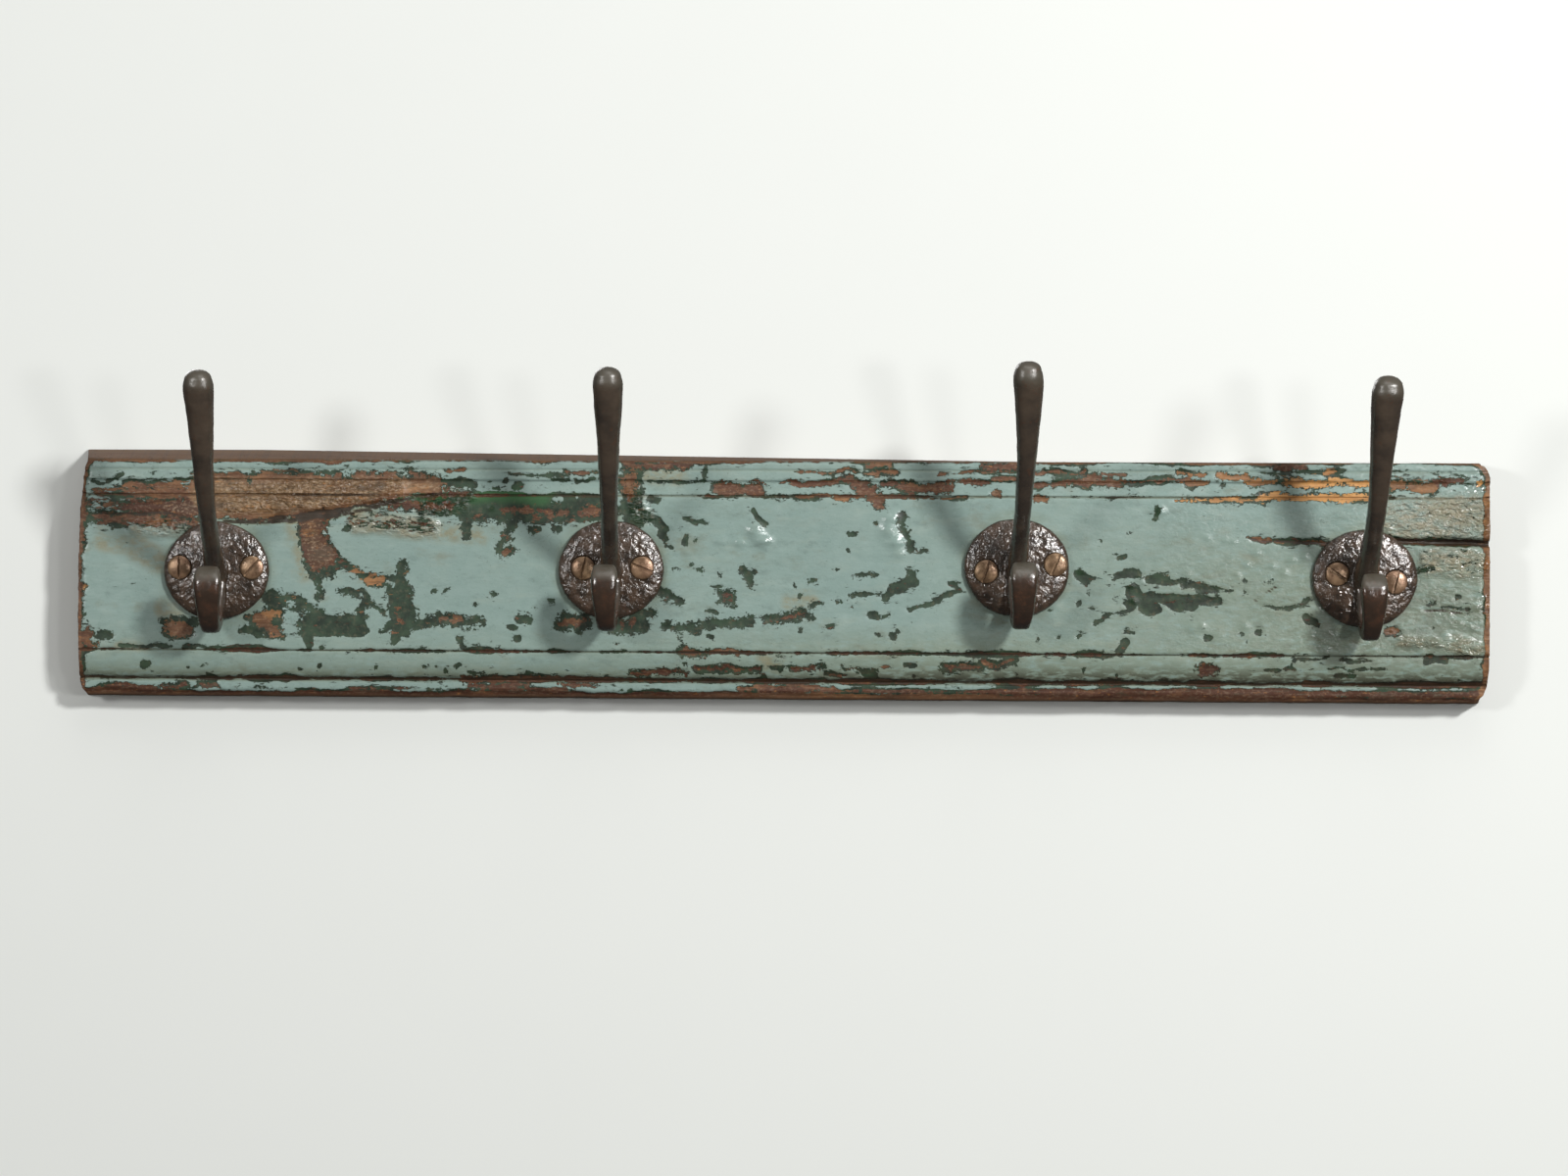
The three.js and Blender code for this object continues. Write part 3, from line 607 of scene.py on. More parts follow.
# ---- plank --------------------------------------------------------------------------------
def section():
    """The moulded section as (recess, drop) rows, with the row step wanted up to each corner."""
    corners = [
        (22, -5, 0), (20.6, -4.9, 1.2), (3.0, -0.35, 1.3), (2.1, 0.1, 0.7), (1.5, 0.6, 0.6),
        (1.2, 1.3, 0.6), (1.2, 3.6, 0.8), (1.6, 4.05, 0.5), (1.0, 4.6, 0.5), (0.6, 8.3, 0.75),
        (0.9, 8.7, 0.5), (1.5, 9.0, 0.5), (1.35, 11, 0.7), (0.9, 13.2, 0.7), (0.4, 14.9, 0.7),
        (1.3, FIELD_QUIRK, 0.5), (0.35, 15.9, 0.5), (0.05, 16.6, 0.5), (0, 17.4, 0.6), (0, 83.3, 0.8),
        (0.2, 83.7, 0.5), (1.2, 84.1, 0.5), (0.5, 84.7, 0.5),
    ]
    for i in range(1, 9):
        angle = i / 8 * math.pi / 2 * 0.92
        corners.append((0.5 + 5.3 * (1 - math.cos(angle)), 84.7 + 11.7 * math.sin(angle), 0.8))
    corners += [
        (6.6, STEP, 0.5), (5.6, 97.7, 0.5), (5.6, 101, 0.8), (6.3, 102.4, 0.7), (7.6, 103.8, 0.7),
        (9.2, 104.5, 0.8), (11, 104.7, 0.9), (21.4, 104.7, 1.5), (22, 104.1, 0.8), (22, -4.2, 5.5),
    ]
    rows = [corners[0][:2]]
    for (r0, d0, _), (r1, d1, step) in zip(corners, corners[1:]):
        count = max(1, int(round(math.hypot(r1 - r0, d1 - d0) / step)))
        for k in range(1, count + 1):
            rows.append((r0 + (r1 - r0) * k / count, d0 + (d1 - d0) * k / count))
    return np.array(rows)


def end_line(z, recess, right):
    """X of the plank's end at height z: worn round at its corners, squarer towards the wall."""
    half = PLANK_HEIGHT / 2
    if right:
        heights = [-half - 1, -51, -49, -45, -38, 28, 42, 46.6, 49.5, 51.6, half + 1.2]
        worn = [9.0, 4.6, 2.2, 0.5, 0, 0, 0, 0.2, 1.0, 2.5, 6.6]
    else:
        heights = [-half, -51, -49, -45, -33, 5, 30, 44, 49.5, 52, half + 5]
        worn = [6.6, 3.4, 1.3, 0.4, 0.1, 0, 0.9, 1.9, 3.0, 4.2, 4.6]
    worn = np.interp(z, heights, worn) * (1 - 0.8 * np.clip(recess / PLANK_THICKNESS, 0, 1))
    return END_RIGHT - worn if right else worn + END_LEFT


def columns():
    """Places along the plank from 0 to 1, closer together at the ends."""
    inner = np.linspace(4.0, PLANK_LENGTH - 4.0, 496)
    left = np.array([0, 0.35, 0.9, 1.6, 2.4, 3.2])
    return np.concatenate([left, inner, PLANK_LENGTH - left[::-1]]) / PLANK_LENGTH


# What the wear attributes, and the painted shade with dirt, are on the raw ends.
END_GRAIN = {
    "painted": 0.5, "paint": -2.0, "bare": -2.0, "tone": 0.35, "grime_and_shade": 0.2, "varnish": 0.0, "tear": 0.3,
    "scuff": 0.0, "wet": 0.0, "fresh": 0.0, "dry": 0.0, "aged": 0.0, "stain": 0.0,
}


def worn_lines(x, drop, flat):
    """Distance to each arris or groove worn along the whole length, below zero inside, and its tone."""
    # (drop, half width, breaks, tone)
    lines = [
        (0.1, 0.2, 0.7, 0.4), (96.4, 0.15 + 0.65 * smoothstep(x, -215, -150), 0.8, 0.15),
        (104.4, 2.4, 0.5, 0.15 + 0.4 * smoothstep(-np.abs(x - 40), -100, -20)),
        (84.0, -0.1, 0.9, 0.1), (15.3, -0.35, 0.9, 0.2), (8.8, -0.9, 0.9, 0.4),
        (100.7, 0.1 + 1.8 * smoothstep(x, -60, 130), 1.1, 0.12),
    ]
    for i, (line, half, breaks, tone) in enumerate(lines):
        run = noise(flat, (26, 10, 10), 20 + i) + 0.6 * noise(flat, (7, 5, 5), 30 + i)
        yield np.abs(drop - line) - half - breaks * run, tone


def dirt_and_shade(x, z, drop, flat, bare, tone):
    """How much darker a place is painted, from 0 to 1: painted shade with some dirt in the quirks, on the
    down-turned torus and low down, over the right end and by the big bare place, and a painted shadow round
    the hook plates.
    """
    # Darkening along the quirks and the step: painted shade in these creases, partly dirt, with less of it on
    # raw orange wood.
    quirk = np.exp(-((drop - TORUS_QUIRK) / 0.55) ** 2) + 0.8 * np.exp(-((drop - FIELD_QUIRK) / 0.5) ** 2)
    quirk += 0.35 * np.exp(-((drop - BEAD_QUIRK) / 0.45) ** 2) + np.exp(-((drop - STEP) / 0.7) ** 2)
    quirk *= 1 - 0.85 * (tone > 0.8) * smoothstep(-bare, -0.3, 0.3)
    grime_and_shade = np.clip(quirk * (0.75 + 0.35 * noise(flat, (15, 9, 9), 8)), 0, 1)
    above_step = drop < STEP + 0.2
    # Darker low on the face and more so towards the right: painted shade, partly dirt.
    low = smoothstep(drop, 68, 84) * (0.16 + 0.30 * smoothstep(x, -120, 100))
    low += 0.28 * smoothstep(drop, 86, STEP)
    # A darker patch below the big bare place at the left: painted shade, partly dirt.
    lee = np.hypot((x + 206) / 26, (z - 22) / 9)
    around = np.full(len(x), 99.0)
    for hook_x, hook_z, *_ in HOOKS:
        around = np.minimum(around, np.hypot(x - hook_x, z - hook_z) - PLATE_WIDTH / 2)
    # Layers of painted shade, each with some dirt: the down-turned torus and the band under its quirk, low on
    # the face, the right end of the face, the patch by the bare place, and a painted shadow round each hook
    # plate.
    for darkening in (
        0.62 * smoothstep(drop, 85, STEP) * above_step,
        0.25 * smoothstep(-np.abs(drop - 85.3), -2.2, 0),
        low * above_step,
        0.54 * smoothstep(x, 30, 260) * smoothstep(drop, 12, 60) * above_step,
        0.5 * smoothstep(-lee, -1.1, -0.2) * (bare < 0.5),
        0.45 * smoothstep(-around, -5, 0.5) * (0.7 + 0.5 * noise(flat, 6, 9)),
    ):
        grime_and_shade = np.maximum(grime_and_shade, darkening)
    return grime_and_shade


def beads(x, z):
    """Size of each bead of varnish, and the squared distance to it in beads."""
    for bead_x, bead_z, size in BEADS:
        upward = z - level(bead_x, bead_z)
        yield size, ((x - bead_x) / size) ** 2 + (upward / (0.8 * size)) ** 2


def knocks(place, drop, side):
    """How far the bare arrises and ends are knocked in."""
    depth = np.maximum(noise(place, (9, 7, 7), 17), 0) * np.exp(-((drop - 103) / 2.2) ** 2)
    depth += np.maximum(noise(place, (14, 7, 7), 18), 0) * 0.6 * np.exp(-((drop - 0.2) / 1.4) ** 2)
    depth += np.maximum(noise(place, (6, 7, 8), 19), 0) * 1.2 * smoothstep(side, -3, 0)
    return depth


def close_ends(grid, points, faces, values):
    """Closes each end in rings that shrink towards a line in the middle of the thickness, and a cap."""
    count, wide = grid.shape[:2]
    total = count * wide
    for end, column in ((0, 0), (1, wide - 1)):
        previous = np.arange(count) * wide + column
        loop = grid[:, column, :]
        spine = loop.copy()
        spine[:, 1] = -PLANK_THICKNESS / 2 + 0.02 * (loop[:, 1] + PLANK_THICKNESS / 2)
        spine[:, 2] = np.clip(loop[:, 2], -PLANK_HEIGHT / 2 + 10.5, PLANK_HEIGHT / 2 - 10.5)
        for share in (0.06, 0.18, 0.34, 0.52, 0.72, 0.9):
            ring = loop + (spine - loop) * share
            even = end_line(ring[:, 2], ring[:, 1] + PLANK_THICKNESS, end == 1)
            ring[:, 0] += (even - ring[:, 0]) * min(1.0, share / 0.3)
            rough = 0.25 * noise(ring, (3, 6, 1.6), 50) + 0.35 * noise(ring, 9, 51)
            bulge = 0.5 * min(1.0, share / 0.1)
            ring[:, 0] += (1 if end else -1) * (rough * min(1.0, share / 0.15) + bulge - 0.3)
            ids = np.arange(total, total + count)
            points.append(ring)
            for key in values:
                values[key].append(np.full(count, END_GRAIN[key]))
            for j in range(count):
                k = (j + 1) % count
                quad = (previous[j], previous[k], ids[k], ids[j])
                faces.append(quad if end else quad[::-1])
            previous = ids
            total += count
        cap = tuple(int(v) for v in previous)
        faces.append(cap if end else cap[::-1])


def build_plank():
    rows = section()
    across = columns()
    count, wide = len(rows), len(across)
    tangent = np.roll(rows, -1, axis=0) - np.roll(rows, 1, axis=0)
    tangent /= np.linalg.norm(tangent, axis=1)[:, None]
    recess = np.repeat(rows[:, 0], wide).reshape(count, wide)
    drop = np.repeat(rows[:, 1], wide).reshape(count, wide)
    nominal = (across - 0.5) * PLANK_LENGTH
    nominal = np.repeat(nominal[None], count, axis=0)
    fade = np.clip((RISE_END - nominal) / RISE_RUN, 0, 1)
    climb = np.maximum(-drop, 0)
    z = (PLANK_HEIGHT / 2 - np.maximum(drop, 0) + climb * fade) * (
        1 + PLANK_TAPER * nominal / (PLANK_LENGTH / 2)
    )
    left, right = end_line(z, recess, False), end_line(z, recess, True)
    x = left + (right - left) * across[None]
    y = -PLANK_THICKNESS + recess

    x, y, z, drop = x.ravel(), y.ravel(), z.ravel(), drop.ravel()
    recess = recess.ravel()
    # A row's outward direction is square to its tangent: out of the face, and up or down.
    out_y = np.repeat(-tangent[:, 1], wide)
    out_z = np.repeat(-tangent[:, 0], wide)
    flat = np.stack([x, np.zeros_like(x), z], axis=1)
    place = np.stack([x, y, z], axis=1)
    front = smoothstep(-out_y, 0.25, 0.6)
    side = np.maximum(x - right.ravel(), left.ravel() - x)      # below zero away from the ends

    warp_x = 1.9 * noise(flat, 8, 1) + 0.9 * noise(flat, 2.8, 2)
    warp_z = 1.1 * noise(flat, (9, 9, 6), 3) + 0.6 * noise(flat, (4, 3, 2.2), 4)
    wx, wz = x + warp_x, z + warp_z
    ragged = 0.35 * noise(flat, 2.1, 5)

    bare, owner = nearest(wx, wz, BARE)
    tone = np.array([stroke[6] for stroke in BARE])[owner]
    tear = tears(BARE)[owner]
    broad = np.array([max(stroke[4:6]) > 4.5 for stroke in BARE])
    dry = broad[owner] * smoothstep(-bare, 0, 4.5)
    green, owner = nearest(wx, wz, GREEN)
    tear = np.where(green < bare, tears(GREEN)[owner], tear)
    island, _ = nearest(wx, wz, ISLANDS)
    for distance, line_tone in worn_lines(x, drop, flat):
        closer = distance < bare
        bare = np.where(closer, distance, bare)
        tone = np.where(closer, line_tone, tone)
        tear = np.where(closer, 0.3, tear)
    end_wear = -side - (1.7 + 0.9 * (x > 0) + 0.9 * noise(flat, (8, 8, 9), 40) + 0.6 * noise(flat, 3, 41))
    closer = end_wear < bare
    bare = np.where(closer, end_wear, bare)
    tone = np.where(closer, np.where(x > 0, 0.62, 0.4), tone)
    line_x = np.array([p[0] for p in SPLIT])
    line_z = np.interp(x, line_x, [level(*p) for p in SPLIT]) + 0.35 * noise(flat, (7, 5, 50), 16)
    past = x > SPLIT[0][0]
    opened = np.clip((x - SPLIT[0][0]) / (SPLIT[-1][0] - SPLIT[0][0]), 0, 1)
    wide_split = 0.35 + 0.9 * opened
    in_split = np.where(past, np.abs(z - line_z) - 1.1 * wide_split, 99)
    tone = np.where(in_split < bare, 0.1, tone)
    bare = np.minimum(bare, in_split)
    bare = bare + ragged
    lip = 1.5 * noise(flat, (11, 8, 5), 7) + 0.1
    paint = np.minimum(green + ragged, bare - np.clip(lip, 0.02, 1.2))
    paint = np.maximum(paint, -island)
    bare = np.maximum(bare, -island + 0.6)

    varnish = smoothstep(-nearest(wx, wz, VARNISH)[0], -2.5, 2.0)
    aged = smoothstep(x, 20, 270) * (0.6 + 0.5 * noise(flat, (30, 20, 14), 43)) * (drop < 84)
    aged = np.clip(aged + 0.35 * smoothstep(-np.abs(x + 30), -70, -20), 0, 1)
    stain = smoothstep(-nearest(wx, wz, STAINS)[0], -4, 1)
    fresh = smoothstep(-nearest(wx, wz, FRESH_GREEN)[0], -3, 2)
    scuff = np.zeros(len(x))
    for stroke in SCUFFS:
        reach = streak_distance(wx, wz, stroke)
        scuff = np.maximum(scuff, stroke[6] * smoothstep(-reach, -3.5, 2.0))
    # Painted shade with dirt on the face of the plank. The split and the cracks are darkened below.
    grime_and_shade = dirt_and_shade(x, z, drop, flat, bare, tone)

    shape = 0.10 * noise(flat, (22, 10, 10), 6) + 0.08 * noise(flat, (40, 20, 12), 10)
    shape += 0.06 * noise(flat, (30, 4, 3), 11)
    shape -= 0.30 * smoothstep(-paint, -0.7, 0.7) + 0.28 * smoothstep(-bare, -0.7, 0.7)
    shape += smoothstep(-bare, 0, 1) * (
        0.14 * noise(flat, (28, 3, 1.8), 12) + 0.10 * noise(flat, (9, 2, 1.3), 13)
    )
    shape += varnish * (0.22 * noise(flat, (3.6, 3, 3), 14) + 0.16 * noise(flat, (1.9, 1.6, 1.6), 15))
    wet = varnish.copy()
    for size, reach in beads(x + 0.45 * warp_x, z + 0.6 * warp_z):
        wet = np.maximum(wet, np.exp(-0.6 * reach))
        shape += min(0.5 * size - 0.3, 1.4) * np.exp(-reach)
    shape -= past * 5.0 * opened**1.3 * np.exp(-(((z - line_z) / wide_split) ** 2))
    # The open split is darkened along its length: painted shade in the crack, over the dark wood inside it.
    split_dark_width = (1.3 + 0.5 * opened) * wide_split
    grime_and_shade = np.maximum(grime_and_shade, past * np.exp(-(((z - line_z) / split_dark_width) ** 2)))
    for stroke in CRACKS:
        crack = smoothstep(-streak_distance(x, z + 0.8 * noise(flat, (6, 9, 9), 42), stroke), -0.6, 0.1)
        grime_and_shade = np.maximum(grime_and_shade, crack)
        shape -= 0.45 * crack
    # The back stays flat on the wall.
    shape = shape * front - 0.9 * knocks(place, drop, side) * (recess < 18)
    y = y + out_y * shape
    z = z + out_z * shape

    grid = np.stack([x, y, z], axis=1).reshape(count, wide, 3)
    grid[..., 1] = np.minimum(grid[..., 1], 0)
    points = [grid.reshape(-1, 3)]
    values = {
        "painted": [front], "paint": [paint], "bare": [bare], "tone": [tone], "grime_and_shade": [grime_and_shade],
        "varnish": [varnish], "tear": [tear], "scuff": [scuff], "wet": [wet], "fresh": [fresh],
        "dry": [dry], "aged": [aged], "stain": [stain],
    }
    faces = []
    for j in range(count):
        following = (j + 1) % count
        for i in range(wide - 1):
            faces.append((j * wide + i, following * wide + i, following * wide + i + 1, j * wide + i + 1))
    close_ends(grid, points, faces, values)
    obj = make_object("plank_body", np.vstack(points), faces)
    for key, parts in values.items():
        write_attribute(obj, key, np.concatenate(parts))
    return outward(obj)


def keyhole_outline(grow):
    """Keyhole as (x, z) points about the hanger's centre, grown all round."""
    entry, slot = KEYHOLE_ENTRY + grow, KEYHOLE_SLOT + grow
    meet = math.acos(min(1.0, slot / entry))
    top = [
        (slot * math.cos(a), KEYHOLE_RISE + slot * math.sin(a)) for a in np.linspace(0, math.pi, 17)
    ]
    sweep = np.linspace(math.pi - meet, 2 * math.pi + meet, 33)
    return top + [(entry * math.cos(a), -KEYHOLE_RISE + entry * math.sin(a)) for a in sweep]


def stack(name, layers, centre):
    """A closed body through (outline, y) layers, each outline a list of (x, z) about the centre."""
    rings = [[(x + centre[0], y, z + centre[1]) for x, z in outline] for outline, y in layers]
    return rings_mesh(name, rings)


def rounded_rectangle(width, height, radius, steps=8):
    points = []
    for quarter, (sx, sz) in enumerate(((1, 1), (-1, 1), (-1, -1), (1, -1))):
        for a in np.linspace(quarter * 90, quarter * 90 + 90, steps):
            points.append((
                sx * (width / 2 - radius) + radius * math.cos(math.radians(a)),
                sz * (height / 2 - radius) + radius * math.sin(math.radians(a)),
            ))
    return points


def cut_plank(plank):
    cutters = []
    radius = HOOK_SCREW[1] / 2 + GAP
    start = -PLANK_THICKNESS
    profile = [(radius, start - 3), (radius, start + PILOT_STRAIGHT), (0.3, start + PILOT_DEPTH)]
    for hook_x, hook_z, *_, screws in HOOKS:
        for sx, sz, _ in screws:
            cutters.append(turned("pilot", profile, 24, (hook_x + sx, 0, hook_z + sz)))
    for side in (-1, 1):
        centre = (side * HANGER_X, HANGER_Z)
        pocket = rounded_rectangle(HANGER_WIDTH + 2 * GAP, HANGER_HEIGHT + 2 * GAP, 3.2)
        cutters.append(stack("pocket", [(pocket, -2.6), (pocket, 3)], centre))
        relief = rounded_rectangle(13.4, 20.2, 6.2)
        cutters.append(stack("relief", [(relief, -9.5), (relief, -2.2)], centre))
        for end in (-1, 1):
            profile = [(2.05, -1), (2.05, -9.5), (0.2, -12.6)]
            cutters.append(turned("pilot", profile, 20, (centre[0] + end * HANGER_SCREW_X, 0, HANGER_Z)))
    return boolean(plank, cutters)


def coat_edges(g):
    """Where the plank is painted at all, the distance into the teal, and where each coat is left."""
    painted = g.attribute("painted")
    tear = g.attribute("tear")
    torn = g.total(
        (g.noise(3.4, 6, 0.72), 4.3), (g.flakes(1.9, 1.0), 1.5), (g.flakes(0.9, 2.0), 0.9),
        (g.noise((9, 2, 1.2), 3, 0.6, 3.0), 1.4),
    )
    torn = g.math("MULTIPLY", g.math("SUBTRACT", torn, 4.05), tear)
    beside = g.span(g.attribute("paint"), 0.3, 3.6, 0.46, 0.0)
    scuff = g.math("MAXIMUM", g.attribute("scuff"), beside)
    flaking = g.noise((4.5, 1.9, 1.7), 6, 0.72, 7.0, 0.4)
    chips = g.math("MULTIPLY_ADD", g.noise(30, 1, 0.5, 9.0), 0.16, flaking)
    chips = g.math("SUBTRACT", g.math("MULTIPLY_ADD", scuff, -0.22, 0.78), chips)
    paint = g.total((g.attribute("paint"), 1.0), (torn, 1.0), (tear, -0.5))
    paint = g.math("MINIMUM", paint, g.math("MULTIPLY", chips, 6.0))
    teal_here = g.span(paint, -0.06, 0.06)
    rubbing = g.noise((6, 2, 2), 5, 0.7, 23.0, 0.4)
    rubbed = g.math("SUBTRACT", g.math("MULTIPLY_ADD", scuff, -0.26, 0.74), rubbing)
    bare = g.math("ADD", g.attribute("bare"), torn)
    bare = g.math("MINIMUM", bare, g.math("MULTIPLY", rubbed, 6.0))
    green_here = g.span(bare, -0.06, 0.06)
    return painted, paint, teal_here, green_here


def teal_coat(g, paint):
    """The colour of the teal, and how aged and how varnished it is."""
    patchy = g.noise(45, 3, 0.55, 1.0)
    teal = g.mix(patchy, (0.187, 0.268, 0.246), (0.234, 0.307, 0.271))
    teal = g.mix(g.span(g.noise((14, 6, 5), 4, 0.6, 2.0), 0.5, 0.75, 0, 0.5), teal, (0.255, 0.315, 0.27))
    stain = g.span(g.noise((26, 14, 14), 4, 0.65, 5.0), 0.56, 0.72, 0, 0.55)
    teal = g.mix(stain, teal, (0.165, 0.175, 0.125))
    cloudy = g.noise((7, 4, 3.5), 5, 0.7, 26.0)
    teal = g.mix(g.span(cloudy, 0.52, 0.70, 0, 0.4), teal, (0.120, 0.165, 0.150))
    teal = g.mix(g.span(cloudy, 0.30, 0.46, 0.3, 0), teal, (0.27, 0.35, 0.32))
    yellow = g.span(g.noise((5, 3, 3), 4, 0.65, 31.0), 0.35, 0.62, 0.1, 0.7)
    teal = g.mix(g.math("MULTIPLY", yellow, g.attribute("stain")), teal, (0.215, 0.190, 0.110))
    aged = g.attribute("aged")
    smoky = g.span(g.noise((10, 4, 3.5), 6, 0.75, 29.0), 0.46, 0.66, 0, 0.5)
    teal = g.mix(g.math("MULTIPLY", smoky, aged), teal, (0.125, 0.135, 0.095))
    specks = g.span(g.noise(0.9, 2, 0.5, 6.0), 0.66, 0.74, 0, 0.45)
    teal = g.mix(specks, teal, (0.08, 0.10, 0.08))
    varnish = g.attribute("varnish")
    syrup = g.math("MULTIPLY", varnish, g.span(g.noise((5, 3, 2.5), 5, 0.7, 28.0), 0.38, 0.62, 0.15, 0.75))
    teal = g.mix(syrup, teal, (0.268, 0.236, 0.165))
    # A dark edge on the teal round each chip: painted shade at the step of the paint.
    rim = g.span(paint, 0.02, 0.35, 0.3, 0.0)
    teal = g.mix(rim, teal, (0.10, 0.12, 0.095))
    return teal, aged, varnish


def green_coat(g):
    shades = g.span(g.noise(7, 4, 0.65, 4.0), 0.35, 0.65)
    green = g.mix(shades, (0.011, 0.021, 0.012), (0.030, 0.056, 0.031))
    green = g.mix(g.span(g.noise(2.2, 3, 0.6, 8.0), 0.5, 0.75, 0, 0.7), green, (0.085, 0.082, 0.050))
    return g.mix(g.math("MULTIPLY", g.attribute("fresh"), 0.75), green, (0.030, 0.105, 0.032))


def bare_wood(g):
    """The colour of the bare wood, and its grain."""
    tone = g.attribute("tone")
    tone = g.math("MULTIPLY_ADD", g.math("SUBTRACT", g.noise((12, 5, 4), 4, 0.6, 11.0), 0.5), 0.7, tone)
    dry = g.attribute("dry")
    damp = g.ramp(tone, [
        (0.0, (0.054, 0.018, 0.009)), (0.3, (0.094, 0.038, 0.019)),
        (0.55, (0.150, 0.072, 0.034)), (0.8, (0.29, 0.138, 0.050)), (1.0, (0.55, 0.28, 0.090)),
    ])
    parched = g.ramp(tone, [
        (0.0, (0.085, 0.040, 0.024)), (0.3, (0.130, 0.072, 0.038)), (0.6, (0.208, 0.130, 0.066)),
    ])
    wood = g.mix(dry, damp, parched)
    grain = g.noise((38, 3, 1.1), 5, 0.65, 12.0)
    wood = g.mix(g.span(grain, 0.32, 0.56, 0.45, 0.0), wood, (0.042, 0.024, 0.015))
    pale = g.noise((1.9, 1.2, 1.1), 4, 0.7, 13.0)
    speck = g.math("MULTIPLY_ADD", dry, 0.45, 0.22)
    wood = g.mix(g.math("MULTIPLY", g.span(pale, 0.50, 0.60, 0, 0.7), speck), wood, (0.42, 0.32, 0.215))
    wood = g.mix(g.math("MULTIPLY", g.span(pale, 0.38, 0.47, 0.85, 0), speck), wood, (0.055, 0.034, 0.021))
    cloud = g.noise((18, 8, 7), 6, 0.7, 27.0)
    broad = g.math("MULTIPLY_ADD", dry, 0.6, 0.4)
    wood = g.mix(g.math("MULTIPLY", g.span(cloud, 0.52, 0.64, 0, 0.8), broad), wood, (0.075, 0.050, 0.030))
    wood = g.mix(g.math("MULTIPLY", g.span(cloud, 0.35, 0.48, 0.7, 0), broad), wood, (0.31, 0.155, 0.062))
    flecks = g.noise((2.4, 1.6, 1.4), 3, 0.6, 24.0)
    wood = g.mix(g.span(flecks, 0.60, 0.72, 0, 0.7), wood, (0.36, 0.155, 0.045))
    smear = g.noise((8, 3, 2.4), 5, 0.7, 22.0)
    wood = g.mix(g.span(smear, 0.56, 0.66, 0, 0.5), wood, (0.060, 0.058, 0.034))
    return wood, grain


def plank_material():
    g = Graph("painted_plank")
    painted, paint, teal_here, green_here = coat_edges(g)
    teal, aged, varnish = teal_coat(g, paint)
    green = green_coat(g)
    wood, grain = bare_wood(g)
    # The back and the ends are raw sawn wood.
    raw = g.mix(g.noise((90, 4, 3.0), 5, 0.6, 14.0), (0.068, 0.034, 0.017), (0.168, 0.096, 0.050))
    saw = g.math("SINE", g.math("MULTIPLY", g.noise((7, 400, 400), 1, 0.5, 15.0), 40))
    raw = g.mix(g.span(saw, 0.2, 1.0, 0, 0.25), raw, (0.065, 0.050, 0.038))

    colour = g.mix(green_here, wood, green)
    colour = g.mix(teal_here, colour, teal)
    # Painted shade with dirt: an olive-brown darkening, going near black where it is deepest, in the quirks,
    # cracks and split.
    grime_and_shade = g.math("MULTIPLY", g.attribute("grime_and_shade"), g.span(g.noise((6, 2, 2), 3, 0.6, 16.0), 0.2, 0.55))
    colour = g.mix(g.math("MINIMUM", grime_and_shade, 0.7), colour, (0.70, 0.555, 0.35), "MULTIPLY")
    colour = g.mix(g.span(grime_and_shade, 0.42, 0.85, 0, 0.92), colour, (0.030, 0.022, 0.014))
    colour = g.mix(painted, raw, colour)

    crazed = g.noise((3.4, 2.0, 2.0), 2, 0.5, 25.0, 0.8)
    lumps = g.math("MULTIPLY", crazed, g.total((varnish, 1.45), (aged, 0.30)))
    height = g.total(
        (teal_here, 0.16), (green_here, 0.12), (g.noise((5, 3, 2.2), 2, 0.5, 17.0), 0.16),
        (g.noise(1.2, 3, 0.6, 18.0), 0.05), (lumps, 1.25),
        (g.math("MULTIPLY", g.math("SUBTRACT", 1.0, green_here), grain), 0.35),
    )
    g.bump(height)
    rough = g.blend(teal_here, 0.65, g.span(g.noise(7, 3, 0.5, 19.0), 0.3, 0.7, 0.22, 0.42))
    shiny = g.math("MULTIPLY", aged, g.span(g.noise((9, 5, 4), 4, 0.6, 30.0), 0.42, 0.6))
    rough = g.blend(g.math("MAXIMUM", g.attribute("wet"), shiny), rough, 0.13)
    g.set(Base_Color=colour, Roughness=g.blend(painted, 0.8, rough))
    g.shader.inputs["Specular IOR Level"].default_value = 0.36
    return g.material


# ---- hooks --------------------------------------------------------------------------------
# Stations along each prong: (out from the face of the plank, up, width, thickness).
UPPER = [
    (2.2, -4, 9.6, 9.0), (7.5, 1.5, 9.8, 9.4), (20, 10.4, 8.4, 8.2), (34.4, 21.8, 7.4, 7.4),
    (47.5, 35.5, 7.9, 7.8), (57.9, 50.7, 9.2, 8.8), (65.2, 65.5, 11.2, 10.6), (69.2, 75, 12.6, 12.0),
    (70.8, 78.6, 12.5, 11.9), (71.6, 80.8, 11.3, 10.6),
]
LOWER = [
    (1.8, 4, 8.6, 8), (4.6, -6, 8.8, 7.2), (8.2, -15.6, 8.4, 6.8), (14.6, -22, 8.1, 6.2),
    (22.4, -23.6, 8.0, 6.4), (29.6, -18.8, 9.0, 6.8), (33.2, -11.5, 10.6, 7.4), (34.2, -4.6, 11.6, 7.2),
    (32.9, -0.6, 10.8, 4.6), (31.7, 1.6, 9.0, 1.8),
]
LEAN_SHARE = [0, 0, 0, 0.35, 0.6, 0.8, 1, 1, 1, 1]
# The dome of the plate: share of its radius, and how far it stands out there.
DOME = [(0.95, 3.05), (0.88, 3.6), (0.78, 4.05), (0.62, 4.5), (0.42, 4.75), (0.2, 4.88), (0, 4.9)]


